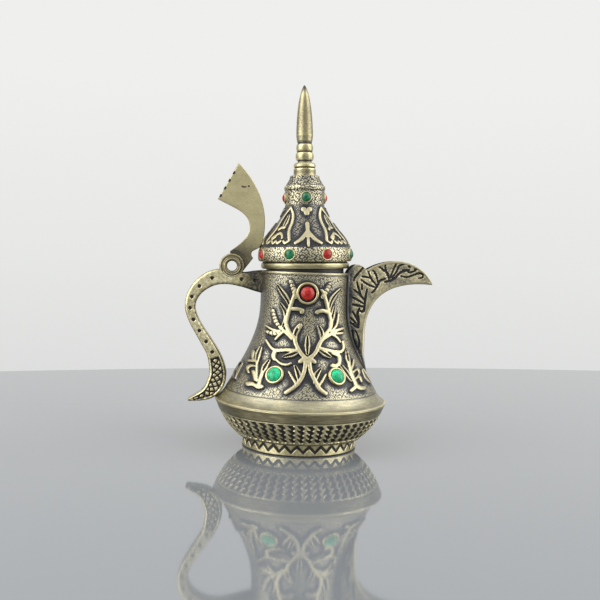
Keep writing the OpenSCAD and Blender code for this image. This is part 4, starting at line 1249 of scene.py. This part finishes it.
def cast_glass(name, deep, light):
    """Moulded glass stone with a foil back: deep colour with pale blotches that are painted
    highlights, under a glossy wet surface.
    """
    material, tree, shader, place = new_material(name)
    highlight_blotches = add(tree, "ShaderNodeTexNoise", {"Vector": place, "Scale": 1 / (1.6 * MM), "Detail": 2})
    # the light colour comes in blotches: painted highlights
    colour = add(tree, "ShaderNodeValToRGB", {"Fac": highlight_blotches.outputs["Fac"]},
                 stops=[(0.36, deep), (0.64, light)])
    tree.links.new(colour.outputs["Color"], shader.inputs["Base Color"])
    shader.inputs["Roughness"].default_value = 0.08
    shader.inputs["IOR"].default_value = 1.45
    return material


def turned_steel(name):
    """Plain steel hardware, turned: cool grey with faint rings."""
    material, tree, shader, place = new_material(name)
    rings = add(tree, "ShaderNodeTexNoise", {"Vector": place, "Scale": 1 / (0.4 * MM), "Detail": 2})
    colour = add(tree, "ShaderNodeValToRGB", {"Fac": rings.outputs["Fac"]},
                 stops=[(0.3, "#8d8f90"), (0.7, "#b4b5b5")])
    bump = add(tree, "ShaderNodeBump", {"Height": rings.outputs["Fac"], "Strength": 0.4,
                                        "Distance": 0.02 * MM})
    tree.links.new(colour.outputs["Color"], shader.inputs["Base Color"])
    tree.links.new(bump.outputs["Normal"], shader.inputs["Normal"])
    shader.inputs["Metallic"].default_value = 1.0
    shader.inputs["Roughness"].default_value = 0.35
    return material


# From black patina, over bare metal that is still dull, to the pale rubbed brass. The turned
# pieces are warmer in their middle tones than the castings.
BRASS_TONES = [(0.0, "#131316"), (0.18, "#343438"), (0.38, "#63625d"), (0.6, "#98937c"),
               (0.8, "#c9be97"), (1.0, "#efe6c3")]
PLAIN_TONES = [(0.0, "#151313"), (0.2, "#45413a"), (0.42, "#7f785f"), (0.62, "#aca47f"),
               (0.82, "#cdc399"), (1.0, "#f0e8c8")]

# Castings: pitted, with cold grey-black hollows round pale rubbed work
cast_brass = antique_brass("antiqued_cast_brass", BRASS_TONES)
# Turned and brushed pieces: smoother, so they carry a brighter, wetter shine
turned_brass = antique_brass("antiqued_turned_brass", PLAIN_TONES, pit_mm=0.35, pit_depth=0.012,
                             mottle=0.03, smoothest=0.26)
# The lever's rolled sheet: even and warm, with faint marks across it, darker round the hinge
rolled_brass = antique_brass("rolled_antique_brass", PLAIN_TONES, pit_mm=0.9, pit_depth=0.015,
                             base=0.7, grain=(1.0, 1.0, 2.5), dark_from=HINGE)
# Punched and engraved marks that kept their black, and the plain cover under the foot
black_brass = antique_brass("blackened_brass", BRASS_TONES, base=0.02)
sheet_brass = antique_brass("dull_sheet_brass", BRASS_TONES, base=0.5)
red_glass = cast_glass("red_cast_glass", "#8a0d06", "#c42416")
green_glass = cast_glass("green_cast_glass", "#018a57", "#18d996")
deep_green_glass = cast_glass("deep_green_cast_glass", "#05402a", "#15804f")
steel = turned_steel("turned_steel")

upper_casting(cast_brass)
lower_casting(turned_brass)
lid_rim(turned_brass)
jewelled_band(cast_brass)
dome_and_collar(cast_brass)
finial(turned_brass)
spout_casting(cast_brass)
handle_strap(turned_brass)
hinge_pieces(turned_brass)
thumb_lever(rolled_brass, black_brass)
body_stones(red_glass, green_glass, turned_brass)
lid_stones(red_glass, deep_green_glass, turned_brass)

# Pieces that stay as the CAD has them
for node, finish in (("bottom_cover", sheet_brass), ("handle_screws", steel),
                     ("lever_rivets", steel), ("finial_stud", steel), ("finial_washer", steel)):
    mesh = frame["nodes"][node].data
    mesh.materials.clear()
    mesh.materials.append(finish)


# ---- Table, light and camera ----

TABLE_AT = (320, -1214)          # middle of the table top
TABLE_R = 1500


def stage_table():
    """A round glass-topped table, pale grey, with its far edge a little behind the pot. What
    stands on it shows again in it, softly."""
    material, _, shader, _ = new_material("pale_glass_table")
    # the index is above plain glass's, because a backed pane mirrors more
    shader.inputs["Base Color"].default_value = linear("#868a8e")
    shader.inputs["Roughness"].default_value = 0.05
    shader.inputs["IOR"].default_value = 2.1
    rim = [(TABLE_R - 4 + 4 * math.cos(a), -4 + 4 * math.sin(a))
           for a in np.radians(range(-90, 91, 15))]
    profile = joined((0.01, -8), rim, (0.01, 0))
    angle = np.linspace(0, 2 * math.pi, 360, endpoint=False)[None, :]
    x = profile[:, :1] * np.sin(angle) + TABLE_AT[0]
    y = -profile[:, :1] * np.cos(angle) + TABLE_AT[1]
    points, faces = skin(x, y, np.repeat(profile[:, 1:], 360, 1) - 0.02)
    mesh = bpy.data.meshes.new("table")
    mesh.from_pydata(points * MM, [], faces)
    mesh.materials.append(material)
    into_scene("table", mesh)


def room_light():
    """A pale room: what camera and metal see is near white, and it lights the pot evenly."""
    world = bpy.data.worlds.new("room")
    bpy.context.scene.world = world
    world.use_nodes = True
    tree = world.node_tree
    tree.nodes.clear()
    path = add(tree, "ShaderNodeLightPath").outputs
    seen = add(tree, "ShaderNodeMath", {0: path["Is Camera Ray"], 1: path["Is Glossy Ray"]},
               operation="MAXIMUM").outputs["Value"]
    seen = add(tree, "ShaderNodeMath", {0: seen, 1: path["Is Transmission Ray"]},
               operation="MAXIMUM").outputs["Value"]
    lit = add(tree, "ShaderNodeBackground", {"Color": linear("#d8dadc"), "Strength": 0.55})
    toward = add(tree, "ShaderNodeTexCoord").outputs["Generated"]
    up = add(tree, "ShaderNodeSeparateXYZ", {"Vector": toward}).outputs["Z"]
    height = add(tree, "ShaderNodeMapRange", {"Value": up, "From Min": -0.14, "From Max": 0.2})
    sky = add(tree, "ShaderNodeValToRGB", {"Fac": height.outputs["Result"]},
              stops=[(0.0, "#dddedd"), (0.4, "#e7e8e6"), (1.0, "#efefed")])
    shown = add(tree, "ShaderNodeBackground", {"Color": sky.outputs["Color"], "Strength": 1.0})
    mix = add(tree, "ShaderNodeMixShader", {0: seen, 1: lit.outputs[0], 2: shown.outputs[0]})
    add(tree, "ShaderNodeOutputWorld", {"Surface": mix.outputs[0]})


def softbox(name, place, size, power):
    """A soft rectangular lamp that points at the middle of the pot."""
    light = bpy.data.lights.new(name, "AREA")
    light.shape = "RECTANGLE"
    light.size, light.size_y = size
    light.energy = power
    lamp = into_scene(name, light)
    lamp.location = place
    aim = Vector((0, 0, 0.07)) - Vector(place)
    lamp.rotation_euler = aim.to_track_quat("-Z", "Y").to_euler()


stage_table()
room_light()
softbox("softbox_left", (-0.7, -0.35, 0.45), (0.9, 1.0), 8.0)
softbox("softbox_right", (0.75, -0.2, 0.45), (0.9, 1.0), 7.0)
softbox("softbox_top", (0.0, -0.1, 0.95), (1.2, 1.2), 2.4)

# The camera stands close in front, at mid height, and is turned a little and tilted a little
lens = bpy.data.cameras.new("camera")
lens.lens = 49.14
lens.sensor_width = 36
camera = into_scene("camera", lens)
camera.matrix_world = (Matrix.Translation((-0.02755, -0.3531, 0.0805))
                       @ Matrix.Rotation(math.radians(-4.2), 4, "Z")
                       @ Matrix.Rotation(math.radians(87.16), 4, "X")
                       @ Matrix.Rotation(math.radians(2.05), 4, "Z"))
bpy.context.scene.camera = camera
bpy.context.scene.view_settings.view_transform = "Standard"
